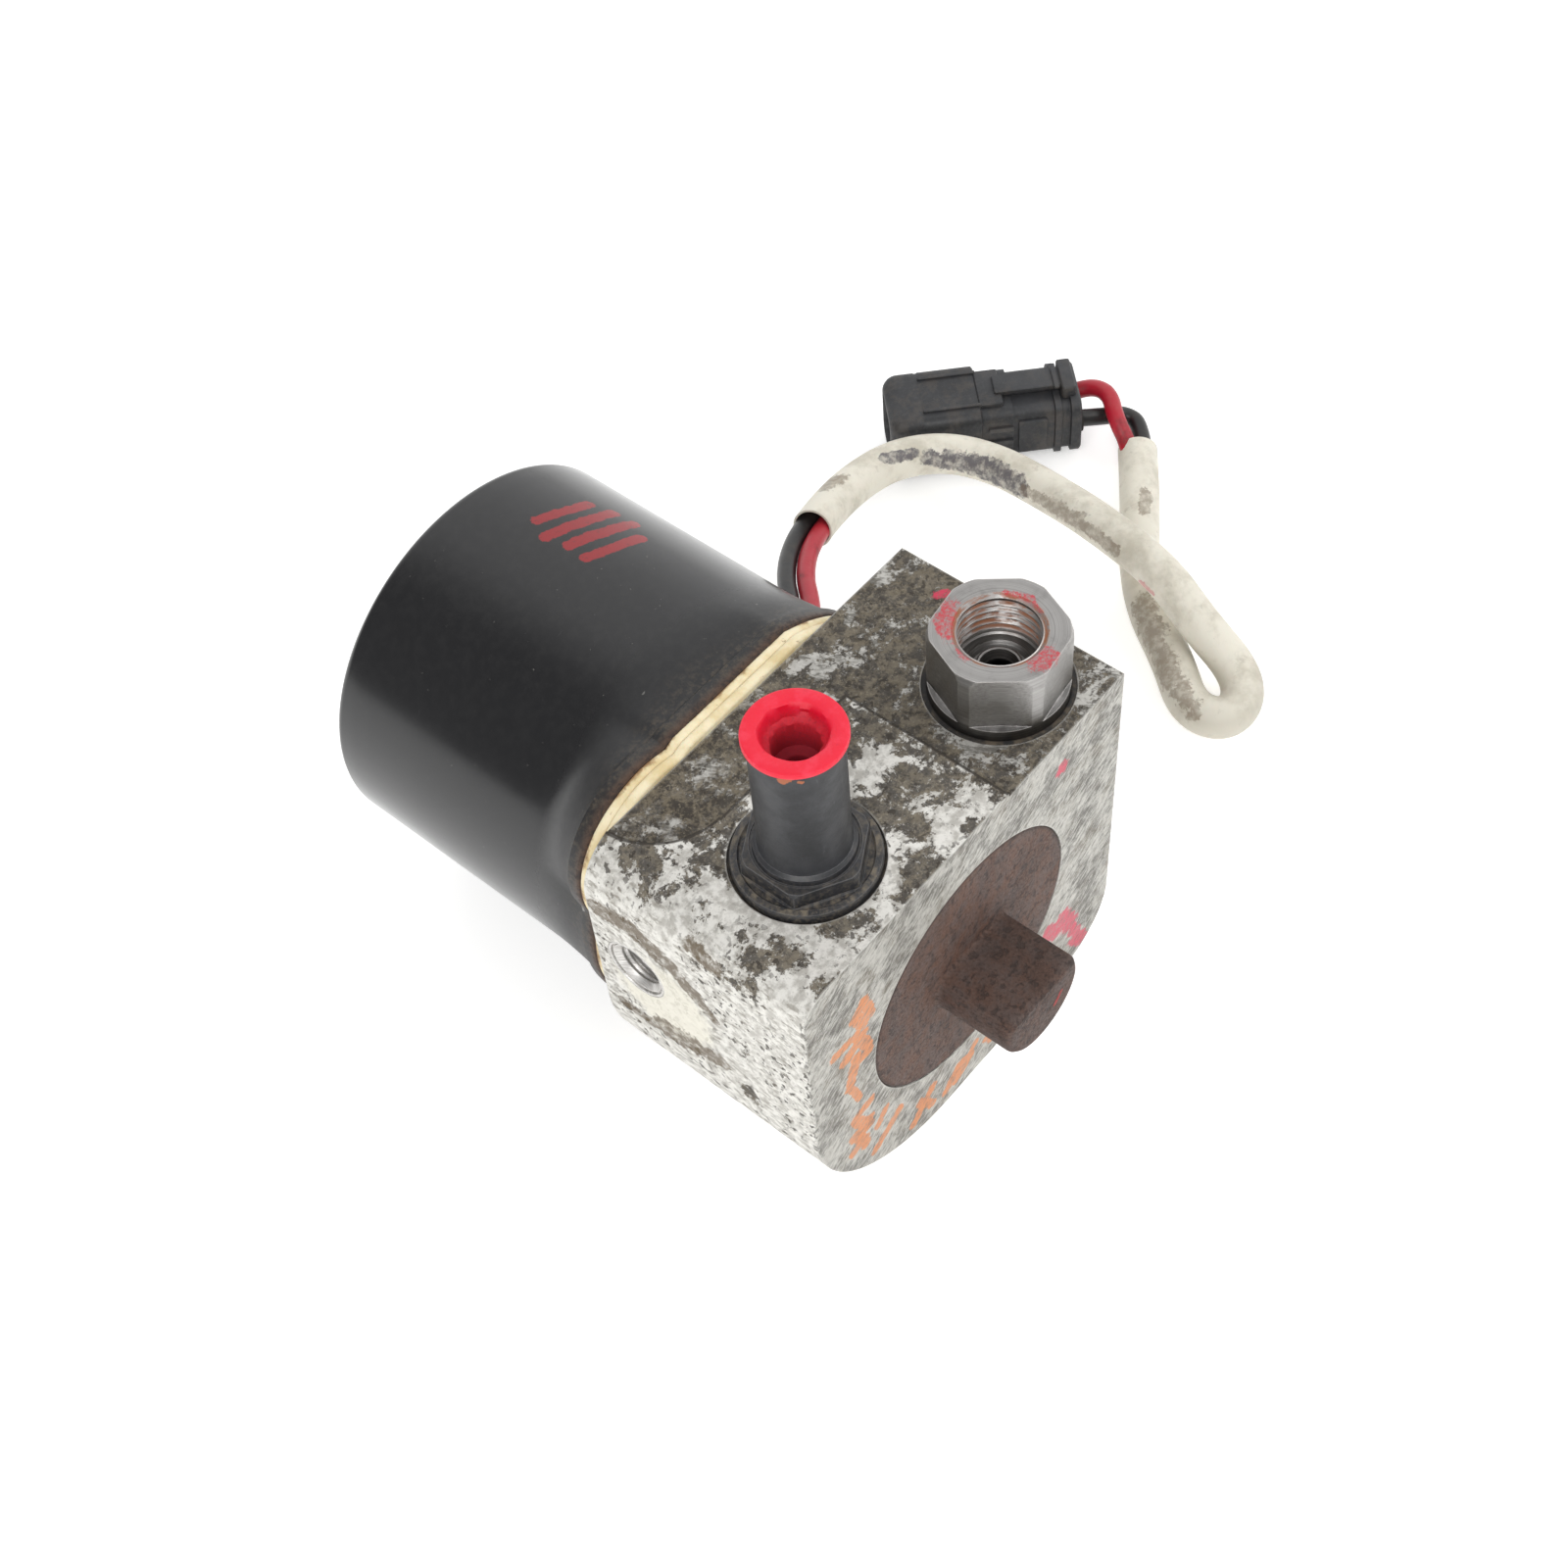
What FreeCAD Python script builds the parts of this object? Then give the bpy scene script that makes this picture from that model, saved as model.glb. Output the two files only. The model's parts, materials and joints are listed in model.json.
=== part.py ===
# Motorised rotary-valve actuator head: a permanent-magnet motor turns a quarter-turn spindle
# and valve drum through two planetary stages, inside an aluminium port block.
#
# Frame: origin on the spindle axis at the block's front face, +Y back along the motor,
# +Z up through the two ports, +X to the right seen from the front.  Millimetres.

import FreeCAD, Part
import math
import os

import Sketcher
from FreeCAD import Rotation, Vector

doc = FreeCAD.newDocument("ActuatorHead")
sheet = doc.addObject("Spreadsheet::Sheet", "Dimensions")


class Size:
    """A length from the sheet, or arithmetic on such lengths: a number and its formula."""

    def __init__(self, value, formula):
        self.value = value
        self.formula = formula

    def join(self, other, sign, value):
        return Size(value, f"({self.formula} {sign} {asSize(other).formula})")

    def __add__(self, other):
        return self.join(other, "+", self.value + asSize(other).value)

    def __sub__(self, other):
        return self.join(other, "-", self.value - asSize(other).value)

    def __mul__(self, other):
        return self.join(other, "*", self.value * asSize(other).value)

    def __truediv__(self, other):
        return self.join(other, "/", self.value / asSize(other).value)

    def __neg__(self):
        return Size(-self.value, f"(0 - {self.formula})")


def asSize(thing):
    return thing if isinstance(thing, Size) else Size(float(thing), str(thing))


drivingSizes = {
    # port block
    "blockHalfWidth": 42.2,
    "blockLength": 47.3,
    "blockTop": 37.3,
    "blockBottom": -40.4,
    "blockTopRightRound": 1.5,
    "blockLowerLeftRound": 36.0,
    "blockLowerRightRound": 14.0,
    "edgeRoundFront": 5.5,
    "edgeRoundRear": 10.5,
    "machinedDrop": 0.8,
    "padEdgeX": 10.0,
    "padEdgeY": 34.0,
    "padCorner": 3.0,
    "pocketCentreX": -22.0,
    "pocketCentreY": 47.3,
    "pocketRadius": 13.0,
    # output spindle
    "discRadius": 26.25,
    "discThick": 5.8,
    "stubRadius": 9.8,
    "stubLength": 15.5,
    "stubFlat": 4.0,
    "stubChamfer": 0.8,
    "journalRadius": 10.0,
    "shaftRadius": 5.0,
    "runningFit": 0.05,
    "wallGap": 0.2,
    "stopPinRadius": 1.5,
    "stopPinReach": 21.0,
    "stopSlotHalf": 1.7,
    # valve chamber and gland
    "webStart": 6.0,
    "chamberStart": 12.0,
    "chamberEnd": 34.2,
    "chamberRadius": 18.0,
    "bushRadius": 12.0,
    "drumSlotDepth": 5.0,
    "glandRadius": 22.0,
    "glandEnd": 41.0,
    # gear train
    "gearModule": 1.2,
    "sunTeeth": 12,
    "planetTeeth": 12,
    "ringTeeth": 36,
    "ringStart": 41.2,
    "ringEnd": 59.2,
    "ringOuter": 26.5,
    "carrierRadius": 19.0,
    "carrierThick": 2.4,
    "planetThick": 6.0,
    "planetPinRadius": 2.0,
    "outputCarrierStart": 41.6,
    "firstCarrierStart": 51.0,
    # motor
    "gasketThick": 2.0,
    "flangeRadius": 40.4,
    "flangeTop": 37.7,
    "earRound": 18.0,
    "canRadius": 38.0,
    "canWall": 1.6,
    "canEnd": 119.0,
    "canRimRound": 2.0,
    "plateThick": 3.0,
    "lipThick": 3.6,
    "flareLength": 7.0,
    "flareAngle": 22.0,
    "motorShaftRadius": 4.0,
    "bearingRadius": 11.0,
    "bearingStart": 60.4,
    "bearingWidth": 7.0,
    "coreRadius": 28.0,
    "coreStart": 83.0,
    "coreEnd": 107.0,
    "slotRadius": 2.8,
    "slotReach": 21.5,
    "magnetInner": 28.8,
    "commutatorRadius": 10.0,
    "commutatorStart": 70.4,
    "commutatorLength": 9.6,
    "brushWide": 6.0,
    "brushTall": 8.0,
    "leadHoleY": 75.0,
    "grommetRadius": 5.6,
    # ports
    "hoseX": -19.3,
    "hoseY": 18.1,
    "hoseFlangeRadius": 12.4,
    "hoseTubeRadius": 7.6,
    "hoseTop": 68.8,
    "hoseBore": 5.9,
    "capRim": 8.3,
    "capTop": 70.0,
    "adaptorX": 27.8,
    "adaptorY": 15.4,
    "adaptorRadius": 12.1,
    "adaptorFlats": 22.0,
    "adaptorTop": 50.4,
    "adaptorThread": 7.2,
    "adaptorBore": 2.8,
    "portBore": 3.5,
    "spigotEnd": 21.0,
    # side thread inserts
    "insertY": 38.2,
    "insertZ": 12.4,
    "insertRadius": 6.3,
    "insertThread": 4.25,
    "insertDepth": 11.0,
    # leads and plug
    "leadRadius": 1.95,
    "leadSpread": 2.05,
    "sleeveRadius": 4.4,
    "sleeveBore": 4.05,
    "plugLength": 43.0,
    "plugWide": 17.0,
    "plugTall": 16.0,
    "plugX": 131.7,
    "plugY": 97.4,
    "plugYaw": -43.9,
}


class Sheet:
    """Each driving size as an attribute."""


s = Sheet()
for row, (alias, number) in enumerate(drivingSizes.items(), start=1):
    sheet.set(f"A{row}", str(number))
    sheet.setAlias(f"A{row}", alias)
    setattr(s, alias, Size(float(number), f"Dimensions.{alias}"))
doc.recompute()

zero = asSize(0)
along = {"X": Rotation(Vector(0, 1, 0), 90), "Y": Rotation(Vector(1, 0, 0), -90), "Z": Rotation()}
subParts = []


# ---------------------------------------------------------------- helpers

def bind(thing, field, size):
    thing.setExpression(field, asSize(size).formula)


def place(thing, x, y, z, rotation=None):
    thing.Placement = FreeCAD.Placement(Vector(0, 0, 0), rotation or Rotation())
    for axis, size in zip("xyz", (x, y, z)):
        bind(thing, f"Placement.Base.{axis}", size)


def publish(thing, label):
    """Give a finished sub-part its own name."""
    thing.Label = label
    subParts.append(thing)
    return thing


def rod(name, radius, start, end, axis="Y", at=(zero, zero), sweep=360, turn=0):
    """A cylinder from start to end along an axis; `at` is its centre in the other two."""
    item = doc.addObject("Part::Cylinder", name)
    bind(item, "Radius", radius)
    bind(item, "Height", asSize(end) - start)
    item.Angle = sweep
    first, second = at
    spots = {"X": (start, first, second), "Y": (first, start, second), "Z": (first, second, start)}
    place(item, *spots[axis], along[axis] * Rotation(Vector(0, 0, 1), turn))
    return item


def cone(name, radiusStart, radiusEnd, start, end, axis="Y", at=(zero, zero)):
    item = doc.addObject("Part::Cone", name)
    bind(item, "Radius1", radiusStart)
    bind(item, "Radius2", radiusEnd)
    bind(item, "Height", asSize(end) - start)
    first, second = at
    spots = {"X": (start, first, second), "Y": (first, start, second), "Z": (first, second, start)}
    place(item, *spots[axis], along[axis])
    return item


def block(name, sizes, corner, rotation=None):
    item = doc.addObject("Part::Box", name)
    for field, size in zip(("Length", "Width", "Height"), sizes):
        bind(item, field, size)
    place(item, *corner, rotation)
    return item


def fuse(name, *shapes):
    item = doc.addObject("Part::MultiFuse", name)
    item.Shapes = list(shapes)
    item.Refine = True
    return item


def cut(name, base, *tools):
    item = doc.addObject("Part::Cut", name)
    item.Base = base
    item.Tool = tools[0] if len(tools) == 1 else fuse(name + "Tools", *tools)
    item.Refine = True
    return item


def group(name, *shapes):
    item = doc.addObject("Part::Compound", name)
    item.Links = list(shapes)
    return item


def ring(name, outer, inner, start, end, axis="Y", at=(zero, zero)):
    return cut(name, rod(name + "Outer", outer, start, end, axis, at),
               rod(name + "Inner", inner, start - 1, end + 1, axis, at))


def newBody(label):
    body = doc.addObject("PartDesign::Body", label + "Body")
    return publish(body, label)


def sketchOn(body, name, role, offset):
    """A sketch on one of the body's origin planes, moved along that plane's normal."""
    plane = next(item for item in body.Origin.OriginFeatures if item.Role == role)
    sketch = body.newObject("Sketcher::SketchObject", name)
    sketch.AttachmentSupport = [(plane, "")]
    sketch.MapMode = "FlatFace"
    bind(sketch, "AttachmentOffset.Base.z", offset)
    return sketch


def limit(sketch, kind, size, *picks):
    """A dimension bound to the sheet."""
    index = sketch.addConstraint(Sketcher.Constraint(kind, *picks, asSize(size).value))
    bind(sketch, f"Constraints[{index}]", size)


def drawCircle(sketch, radius, x=zero, y=zero):
    centre = Vector(asSize(x).value, asSize(y).value, 0)
    index = sketch.addGeometry(Part.Circle(centre, Vector(0, 0, 1), asSize(radius).value))
    limit(sketch, "Radius", radius, index)
    limit(sketch, "DistanceX", x, -1, 1, index, 3)
    limit(sketch, "DistanceY", y, -1, 1, index, 3)


def drawPolygon(sketch, corners):
    """A closed outline of straight lines, each corner placed by two dimensions."""
    spots = [Vector(asSize(x).value, asSize(y).value, 0) for x, y in corners]
    for index, spot in enumerate(spots):
        sketch.addGeometry(Part.LineSegment(spot, spots[(index + 1) % len(spots)]))
    for index, (x, y) in enumerate(corners):
        sketch.addConstraint(Sketcher.Constraint("Coincident", index - 1 if index else len(spots) - 1, 2,
                                                 index, 1))
        limit(sketch, "DistanceX", x, -1, 1, index, 1)
        limit(sketch, "DistanceY", y, -1, 1, index, 1)


def feature(body, kind, name, sketch, length, backwards=False):
    item = body.newObject("PartDesign::" + kind, name)
    item.Profile = sketch
    bind(item, "Length", length)
    item.Reversed = backwards
    sketch.Visibility = False
    return item


def padBack(body, name, start, length, draw):
    """A pad that grows towards +Y from y = start."""
    sketch = sketchOn(body, name + "Sketch", "XZ_Plane", -asSize(start))
    draw(sketch)
    return feature(body, "Pad", name, sketch, length, True)


def pocketBack(body, name, start, length, draw):
    """A pocket that cuts towards +Y from y = start."""
    sketch = sketchOn(body, name + "Sketch", "XZ_Plane", -asSize(start))
    draw(sketch)
    return feature(body, "Pocket", name, sketch, length, False)


def padUp(body, name, start, length, draw):
    sketch = sketchOn(body, name + "Sketch", "XY_Plane", start)
    draw(sketch)
    return feature(body, "Pad", name, sketch, length)


def pocketDown(body, name, top, depth, draw):
    sketch = sketchOn(body, name + "Sketch", "XY_Plane", top)
    draw(sketch)
    return feature(body, "Pocket", name, sketch, depth)


def revolveUp(label, at, outline):
    """A turned piece about a vertical axis: outline holds (radius, z) corners."""
    body = newBody(label)
    sketch = sketchOn(body, label + "Profile", "XZ_Plane", zero)
    drawPolygon(sketch, outline)
    turned = body.newObject("PartDesign::Revolution", label + "Turned")
    turned.Profile = sketch
    turned.ReferenceAxis = (sketch, ["V_Axis"])
    turned.Angle = 360
    sketch.Visibility = False
    place(body, at[0], at[1], zero)
    return body


def edgesWhere(shape, test):
    return [f"Edge{n}" for n, edge in enumerate(shape.Edges, start=1) if test(edge)]


def dress(body, kind, name, base, edges, size):
    """A fillet or chamfer on the named edges of a feature."""
    item = body.newObject("PartDesign::" + kind, name)
    item.Base = (base, edges)
    bind(item, "Radius" if kind == "Fillet" else "Size", size)
    return item


# ---------------------------------------------------------------- port block

def flangeOutline(sketch, inset):
    """The motor flange: a round with squared ears at upper left and lower right."""
    radius = (s.flangeRadius - inset).value
    top = (s.flangeTop - inset).value
    ear = (s.earRound - inset).value
    topEnd = math.sqrt(radius ** 2 - top ** 2)
    corner = radius - ear
    upper = top - ear
    diagonal = ear * math.sqrt(0.5)
    half = radius * math.sqrt(0.5)
    rightAngle = math.atan2(top, topEnd) / 2

    def spot(x, z):
        return Vector(x, z, 0)

    sketch.addGeometry([
        Part.LineSegment(spot(topEnd, top), spot(-corner, top)),
        Part.Arc(spot(-corner, top), spot(-corner - diagonal, upper + diagonal), spot(-radius, upper)),
        Part.LineSegment(spot(-radius, upper), spot(-radius, 0)),
        Part.Arc(spot(-radius, 0), spot(-half, -half), spot(0, -radius)),
        Part.LineSegment(spot(0, -radius), spot(corner, -radius)),
        Part.Arc(spot(corner, -radius), spot(corner + diagonal, -corner - diagonal), spot(radius, -corner)),
        Part.LineSegment(spot(radius, -corner), spot(radius, 0)),
        Part.Arc(spot(radius, 0), spot(radius * math.cos(rightAngle), radius * math.sin(rightAngle)),
                 spot(topEnd, top)),
    ])
    sketch.addConstraint(Sketcher.Constraint("Coincident", 7, 2, 0, 1))
    for line in (0, 4):
        sketch.addConstraint(Sketcher.Constraint("Horizontal", line))
    for line in (2, 6):
        sketch.addConstraint(Sketcher.Constraint("Vertical", line))
    for first in range(7):
        sketch.addConstraint(Sketcher.Constraint("Tangent", first, 2, first + 1, 1))
    for arc in (3, 7):
        sketch.addConstraint(Sketcher.Constraint("Coincident", arc, 3, -1, 1))
    limit(sketch, "Radius", s.flangeRadius - inset, 7)
    limit(sketch, "Radius", s.flangeRadius - inset, 3)
    limit(sketch, "Radius", s.earRound - inset, 1)
    limit(sketch, "Radius", s.earRound - inset, 5)
    limit(sketch, "DistanceY", s.flangeTop - inset, -1, 1, 0, 2)


def makeBlock():
    body = newBody("valve_block")
    side = s.blockHalfWidth
    base = padBack(body, "BlockPad", zero, s.blockLength, lambda sketch: drawPolygon(sketch, [
        (-side, s.blockBottom), (side, s.blockBottom), (side, s.blockTop), (-side, s.blockTop)]))
    doc.recompute()

    def longEdge(x, z):
        def test(edge):
            ends = [vertex.Point for vertex in edge.Vertexes]
            near = all(abs(p.x - x.value) < 0.01 and abs(p.z - z.value) < 0.01 for p in ends)
            return near and edge.Length > 10
        return test

    rounds = ((-side, s.blockBottom, s.blockLowerLeftRound), (side, s.blockBottom, s.blockLowerRightRound),
              (side, s.blockTop, s.blockTopRightRound))
    for number, (x, z, radius) in enumerate(rounds, start=1):
        base = dress(body, "Fillet", f"BlockRound{number}", base, edgesWhere(base.Shape, longEdge(x, z)),
                     radius)
        doc.recompute()

    pocketDown(body, "MachinedRight", s.blockTop, s.machinedDrop, lambda sketch: drawPolygon(sketch, [
        (s.padEdgeX, -5), (side + 5, -5), (side + 5, s.blockLength + 5), (s.padEdgeX, s.blockLength + 5)]))
    pocketDown(body, "MachinedRear", s.blockTop, s.machinedDrop, lambda sketch: drawPolygon(sketch, [
        (s.pocketCentreX, s.padEdgeY), (s.padEdgeX + 1, s.padEdgeY), (s.padEdgeX + 1, s.blockLength + 5),
        (s.pocketCentreX, s.blockLength + 5)]))
    pocketDown(body, "MachinedScallop", s.blockTop, s.machinedDrop, lambda sketch: drawCircle(
        sketch, s.pocketRadius, s.pocketCentreX, s.pocketCentreY))

    # bores from the front face back, then from the rear face forward
    pocketBack(body, "DiscRecess", zero, s.webStart, lambda sketch: drawCircle(sketch, s.discRadius + 0.1))
    pocketBack(body, "BushBore", zero, s.blockLength, lambda sketch: drawCircle(sketch, s.bushRadius))
    pocketBack(body, "Chamber", s.chamberStart, s.blockLength,
               lambda sketch: drawCircle(sketch, s.chamberRadius))
    pocketBack(body, "GlandSeat", s.chamberEnd, s.blockLength,
               lambda sketch: drawCircle(sketch, s.glandRadius))
    pocketBack(body, "RingSeat", s.glandEnd, s.blockLength, lambda sketch: drawCircle(sketch, s.ringOuter))

    # the two ports from the top face
    pocketDown(body, "HoseSpot", s.blockTop, 1.2, lambda sketch: drawCircle(
        sketch, s.hoseFlangeRadius + 0.5, s.hoseX, s.hoseY))
    pocketDown(body, "HoseThread", s.blockTop, s.blockTop - 22, lambda sketch: drawCircle(
        sketch, s.hoseTubeRadius, s.hoseX, s.hoseY))
    pocketDown(body, "HosePort", s.blockTop, s.blockTop + 4, lambda sketch: drawCircle(
        sketch, s.portBore, s.hoseX, s.hoseY))
    pocketDown(body, "AdaptorSpot", s.blockTop, 2.0, lambda sketch: drawCircle(
        sketch, s.adaptorRadius + 1, s.adaptorX, s.adaptorY))
    pocketDown(body, "AdaptorThread", s.blockTop, s.blockTop - s.spigotEnd, lambda sketch: drawCircle(
        sketch, 9, s.adaptorX, s.adaptorY))
    pocketDown(body, "AdaptorPort", s.blockTop, s.blockTop + 3, lambda sketch: drawCircle(
        sketch, s.adaptorBore, s.adaptorX, s.adaptorY))
    doc.recompute()

    # the big top-left edge grows rounder towards the motor
    rounded = doc.addObject("Part::Fillet", "BlockEdge")
    rounded.Base = body
    corner = [n for n, edge in enumerate(body.Shape.Edges, start=1)
              if longEdge(-side, s.blockTop)(edge)]
    rounded.Edges = [(number, s.edgeRoundRear.value, s.edgeRoundFront.value)
                     if body.Shape.Edges[number - 1].Vertexes[0].Point.y > 1
                     else (number, s.edgeRoundFront.value, s.edgeRoundRear.value) for number in corner]
    subParts.remove(body)
    body.Label = "block_casting"

    screws = [rod(f"PlateScrewHole{n}", 2, 37, 60, at=spot) for n, spot in enumerate(plateScrewSpots())]
    drilled = cut("BlockDrilled", rounded,
                  rod("CrossPort", s.adaptorBore, 14, side + 5, "X", (s.adaptorY, zero)),
                  rod("CrossPlugSeat", 5, side - 7, side + 5, "X", (s.adaptorY, zero)),
                  rod("InsertSeatLeft", s.insertRadius, -side - 5, -side + s.insertDepth, "X",
                      (s.insertY, s.insertZ)),
                  rod("InsertSeatRight", s.insertRadius, side - s.insertDepth, side + 5, "X",
                      (s.insertY, s.insertZ)),
                  rod("StopPinHole", s.stopPinRadius, 1, 11, at=stopPinSpot()),
                  ring("FaceSealGroove", 16.6, 14.4, s.webStart - 1, s.webStart + 1.7),
                  *screws)
    publish(drilled, "valve_block")


def plateScrewSpots():
    return [(asSize(23 * x), asSize(23 * z)) for x in (-1, 1) for z in (-1, 1)]


def stopPinSpot():
    """The stop pin stands 45 degrees below the right of the spindle axis."""
    reach = s.stopPinReach * math.sqrt(0.5)
    return (reach, -reach)


def makeSealsAndFixtures():
    bush = ring("SpindleBush", s.bushRadius, s.journalRadius + s.runningFit, s.webStart, s.chamberStart)
    publish(bush, "spindle_bush")
    seal = doc.addObject("Part::Torus", "FaceSeal")
    seal.Radius1 = 15.5
    seal.Radius2 = 0.8
    place(seal, zero, s.webStart + 0.88, zero, along["Y"])
    publish(seal, "face_oring")
    publish(rod("StopPin", s.stopPinRadius, 2.6, 11, at=stopPinSpot()), "stop_pin")
    gland = cut("Gland", rod("GlandDisc", s.glandRadius, s.chamberEnd, s.glandEnd),
                rod("GlandBore", s.shaftRadius + s.runningFit, 30, 45),
                rod("GlandSealSeat", 9, s.chamberEnd - 1, s.chamberEnd + 4.2))
    publish(gland, "gland_plate")
    lip = cut("LipSeal", rod("LipSealBody", 9, s.chamberEnd, s.chamberEnd + 4),
              rod("LipSealBore", s.shaftRadius + s.runningFit, 30, 45),
              cone("LipSealMouth", 7.4, s.shaftRadius + 0.4, s.chamberEnd - 0.01, s.chamberEnd + 2.2))
    publish(lip, "shaft_seal")
    plug = cut("CrossPlug", rod("CrossPlugBody", 5, s.blockHalfWidth - 7, s.blockHalfWidth, "X",
                                (s.adaptorY, zero)),
               hexRod("CrossPlugSocket", 4, s.blockHalfWidth - 4, 6, "X", (s.adaptorY, zero)))
    publish(plug, "cross_port_plug")
    for label, outside, sign in (("insert_left", -s.blockHalfWidth, 1),
                                 ("insert_right", s.blockHalfWidth, -1)):
        inside = outside + s.insertDepth * sign
        low, high = (outside, inside) if sign > 0 else (inside, outside)
        mouth = (s.insertThread + 0.8, s.insertThread) if sign > 0 else (s.insertThread,
                                                                         s.insertThread + 0.8)
        mouthAt = (outside - 0.01, outside + 0.8) if sign > 0 else (outside - 0.8, outside + 0.01)
        spot = (s.insertY, s.insertZ)
        piece = cut(label + "Cut", rod(label + "Body", s.insertRadius, low, high, "X", spot),
                    rod(label + "Bore", s.insertThread, low - 1, high + 1, "X", spot),
                    cone(label + "Mouth", *mouth, *mouthAt, "X", spot))
        publish(piece, label)


def hexRod(name, flats, start, length, axis, at, turn=0):
    """A hexagonal bar, sized across its flats."""
    item = doc.addObject("Part::Prism", name)
    item.Polygon = 6
    bind(item, "Circumradius", asSize(flats) / math.sqrt(3))
    bind(item, "Height", length)
    first, second = at
    spots = {"X": (start, first, second), "Y": (first, start, second), "Z": (first, second, start)}
    place(item, *spots[axis], along[axis] * Rotation(Vector(0, 0, 1), turn))
    return item


# ---------------------------------------------------------------- output spindle and valve drum

def makeSpindle():
    reach = s.stopPinReach
    slotStart = 2.2
    slot = cut("StopSlotArc", rod("StopSlotOuter", reach + s.stopSlotHalf, slotStart, s.discThick + 1,
                                  sweep=90, turn=-45),
               rod("StopSlotInner", reach - s.stopSlotHalf, slotStart - 1, s.discThick + 2))
    side = reach * math.sqrt(0.5)
    ends = [rod(f"StopSlotEnd{n}", s.stopSlotHalf, slotStart, s.discThick + 1, at=(side, side * sign))
            for n, sign in enumerate((-1, 1))]
    stub = cut("StubFlatCut", rod("Stub", s.stubRadius, -s.stubLength + s.stubChamfer, 1),
               block("StubFlat", (30, s.stubLength + 5, 10), (-15, -s.stubLength - 5, s.stubFlat)))
    nose = cut("NoseFlatCut", cone("Nose", s.stubRadius - s.stubChamfer, s.stubRadius, -s.stubLength,
                                   -s.stubLength + s.stubChamfer),
               block("NoseFlat", (30, s.stubLength + 5, 10), (-15, -s.stubLength - 5, s.stubFlat)))
    whole = fuse("SpindleWhole", rod("Disc", s.discRadius, 0, s.discThick), stub, nose,
                 rod("Journal", s.journalRadius, 1, s.chamberStart + s.wallGap),
                 rod("SpindleShaft", s.shaftRadius, 2, s.outputCarrierStart + s.carrierThick))
    publish(cut("Spindle", whole, slot, *ends), "output_spindle")

    drumRadius = s.chamberRadius - s.runningFit
    drumStart = s.chamberStart + s.wallGap
    drumEnd = s.chamberEnd - s.wallGap
    channel = cut("DrumChannel", rod("DrumChannelOuter", s.chamberRadius + 1, 13.5, 22.5, sweep=200,
                                     turn=-190),
                  rod("DrumChannelInner", s.chamberRadius - s.drumSlotDepth, 12, 24))
    drum = cut("Drum", rod("DrumBody", drumRadius, drumStart, drumEnd),
               rod("DrumBore", s.shaftRadius, 5, 40), channel,
               rod("DrumPinHole", 1.5, -20, 20, "Z", (zero, asSize(28))))
    publish(drum, "valve_drum")
    pin = cut("DrumPin", rod("DrumPinWhole", 1.5, -15, 15, "Z", (zero, asSize(28))),
              rod("DrumPinShaft", s.shaftRadius, 20, 36))
    publish(pin, "drum_pins")


# ---------------------------------------------------------------- gears

toothHeight = 0.80       # addendum, in modules
rootDepth = 1.10         # dedendum, in modules
toothShare = 0.43        # tooth thickness at the pitch circle, in circular pitches
flankSlope = math.tan(math.radians(20))


def gearWire(teeth, share, outward, inward):
    """A toothed outline about the local Z axis, a tooth centred on the local X axis."""
    module = s.gearModule.value
    pitchRadius = teeth * module / 2
    circularPitch = math.pi * module
    tip = pitchRadius + outward * module
    root = pitchRadius - inward * module
    tipHalf = (share * circularPitch / 2 - outward * module * flankSlope) / pitchRadius
    rootHalf = (share * circularPitch / 2 + inward * module * flankSlope) / pitchRadius
    corners = []
    for tooth in range(teeth):
        middle = 2 * math.pi * tooth / teeth
        for radius, angle in ((root, -rootHalf), (tip, -tipHalf), (tip, tipHalf), (root, rootHalf)):
            corners.append(Vector(radius * math.cos(middle + angle), radius * math.sin(middle + angle), 0))
    corners.append(corners[0])
    return Part.makePolygon(corners)


def gearBlank(name, teeth, share, outward, inward, start, length, phase=0, at=(0, 0)):
    """A toothed prism along +Y from y = start, turned by phase degrees about its own axis."""
    wire = gearWire(teeth, share, outward, inward)
    solid = Part.Face(wire).extrude(Vector(0, 0, length))
    item = doc.addObject("Part::Feature", name)
    item.Shape = solid
    turn = along["Y"] * Rotation(Vector(0, 0, 1), phase)
    item.Placement = FreeCAD.Placement(Vector(at[0], start, at[1]), turn)
    return item


planetCount = 3
centreDistance = s.gearModule * (s.sunTeeth + s.planetTeeth) / 2


def planetSpot(index):
    """Polar angle about +Y, and the place of a planet's axis."""
    angle = 90 + 360 / planetCount * index
    reach = centreDistance.value
    return angle, (reach * math.cos(math.radians(angle)), -reach * math.sin(math.radians(angle)))


def planetPhase(angle):
    """The planet's own turn that puts a gap on the sun's tooth at rest."""
    sunPitches = angle / 360 * s.sunTeeth.value
    return angle + 180 - (0.5 - sunPitches) * 360 / s.planetTeeth.value


def makeRingGear():
    teeth = int(s.ringTeeth.value)
    start = s.ringStart.value
    length = s.ringEnd.value - start
    space = gearBlank("RingSpace", teeth, 1 - toothShare, rootDepth, toothHeight, start - 1, length + 2,
                      180 / teeth)
    publish(cut("RingGear", rod("RingBlank", s.ringOuter, s.ringStart, s.ringEnd), space), "ring_gear")


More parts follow.
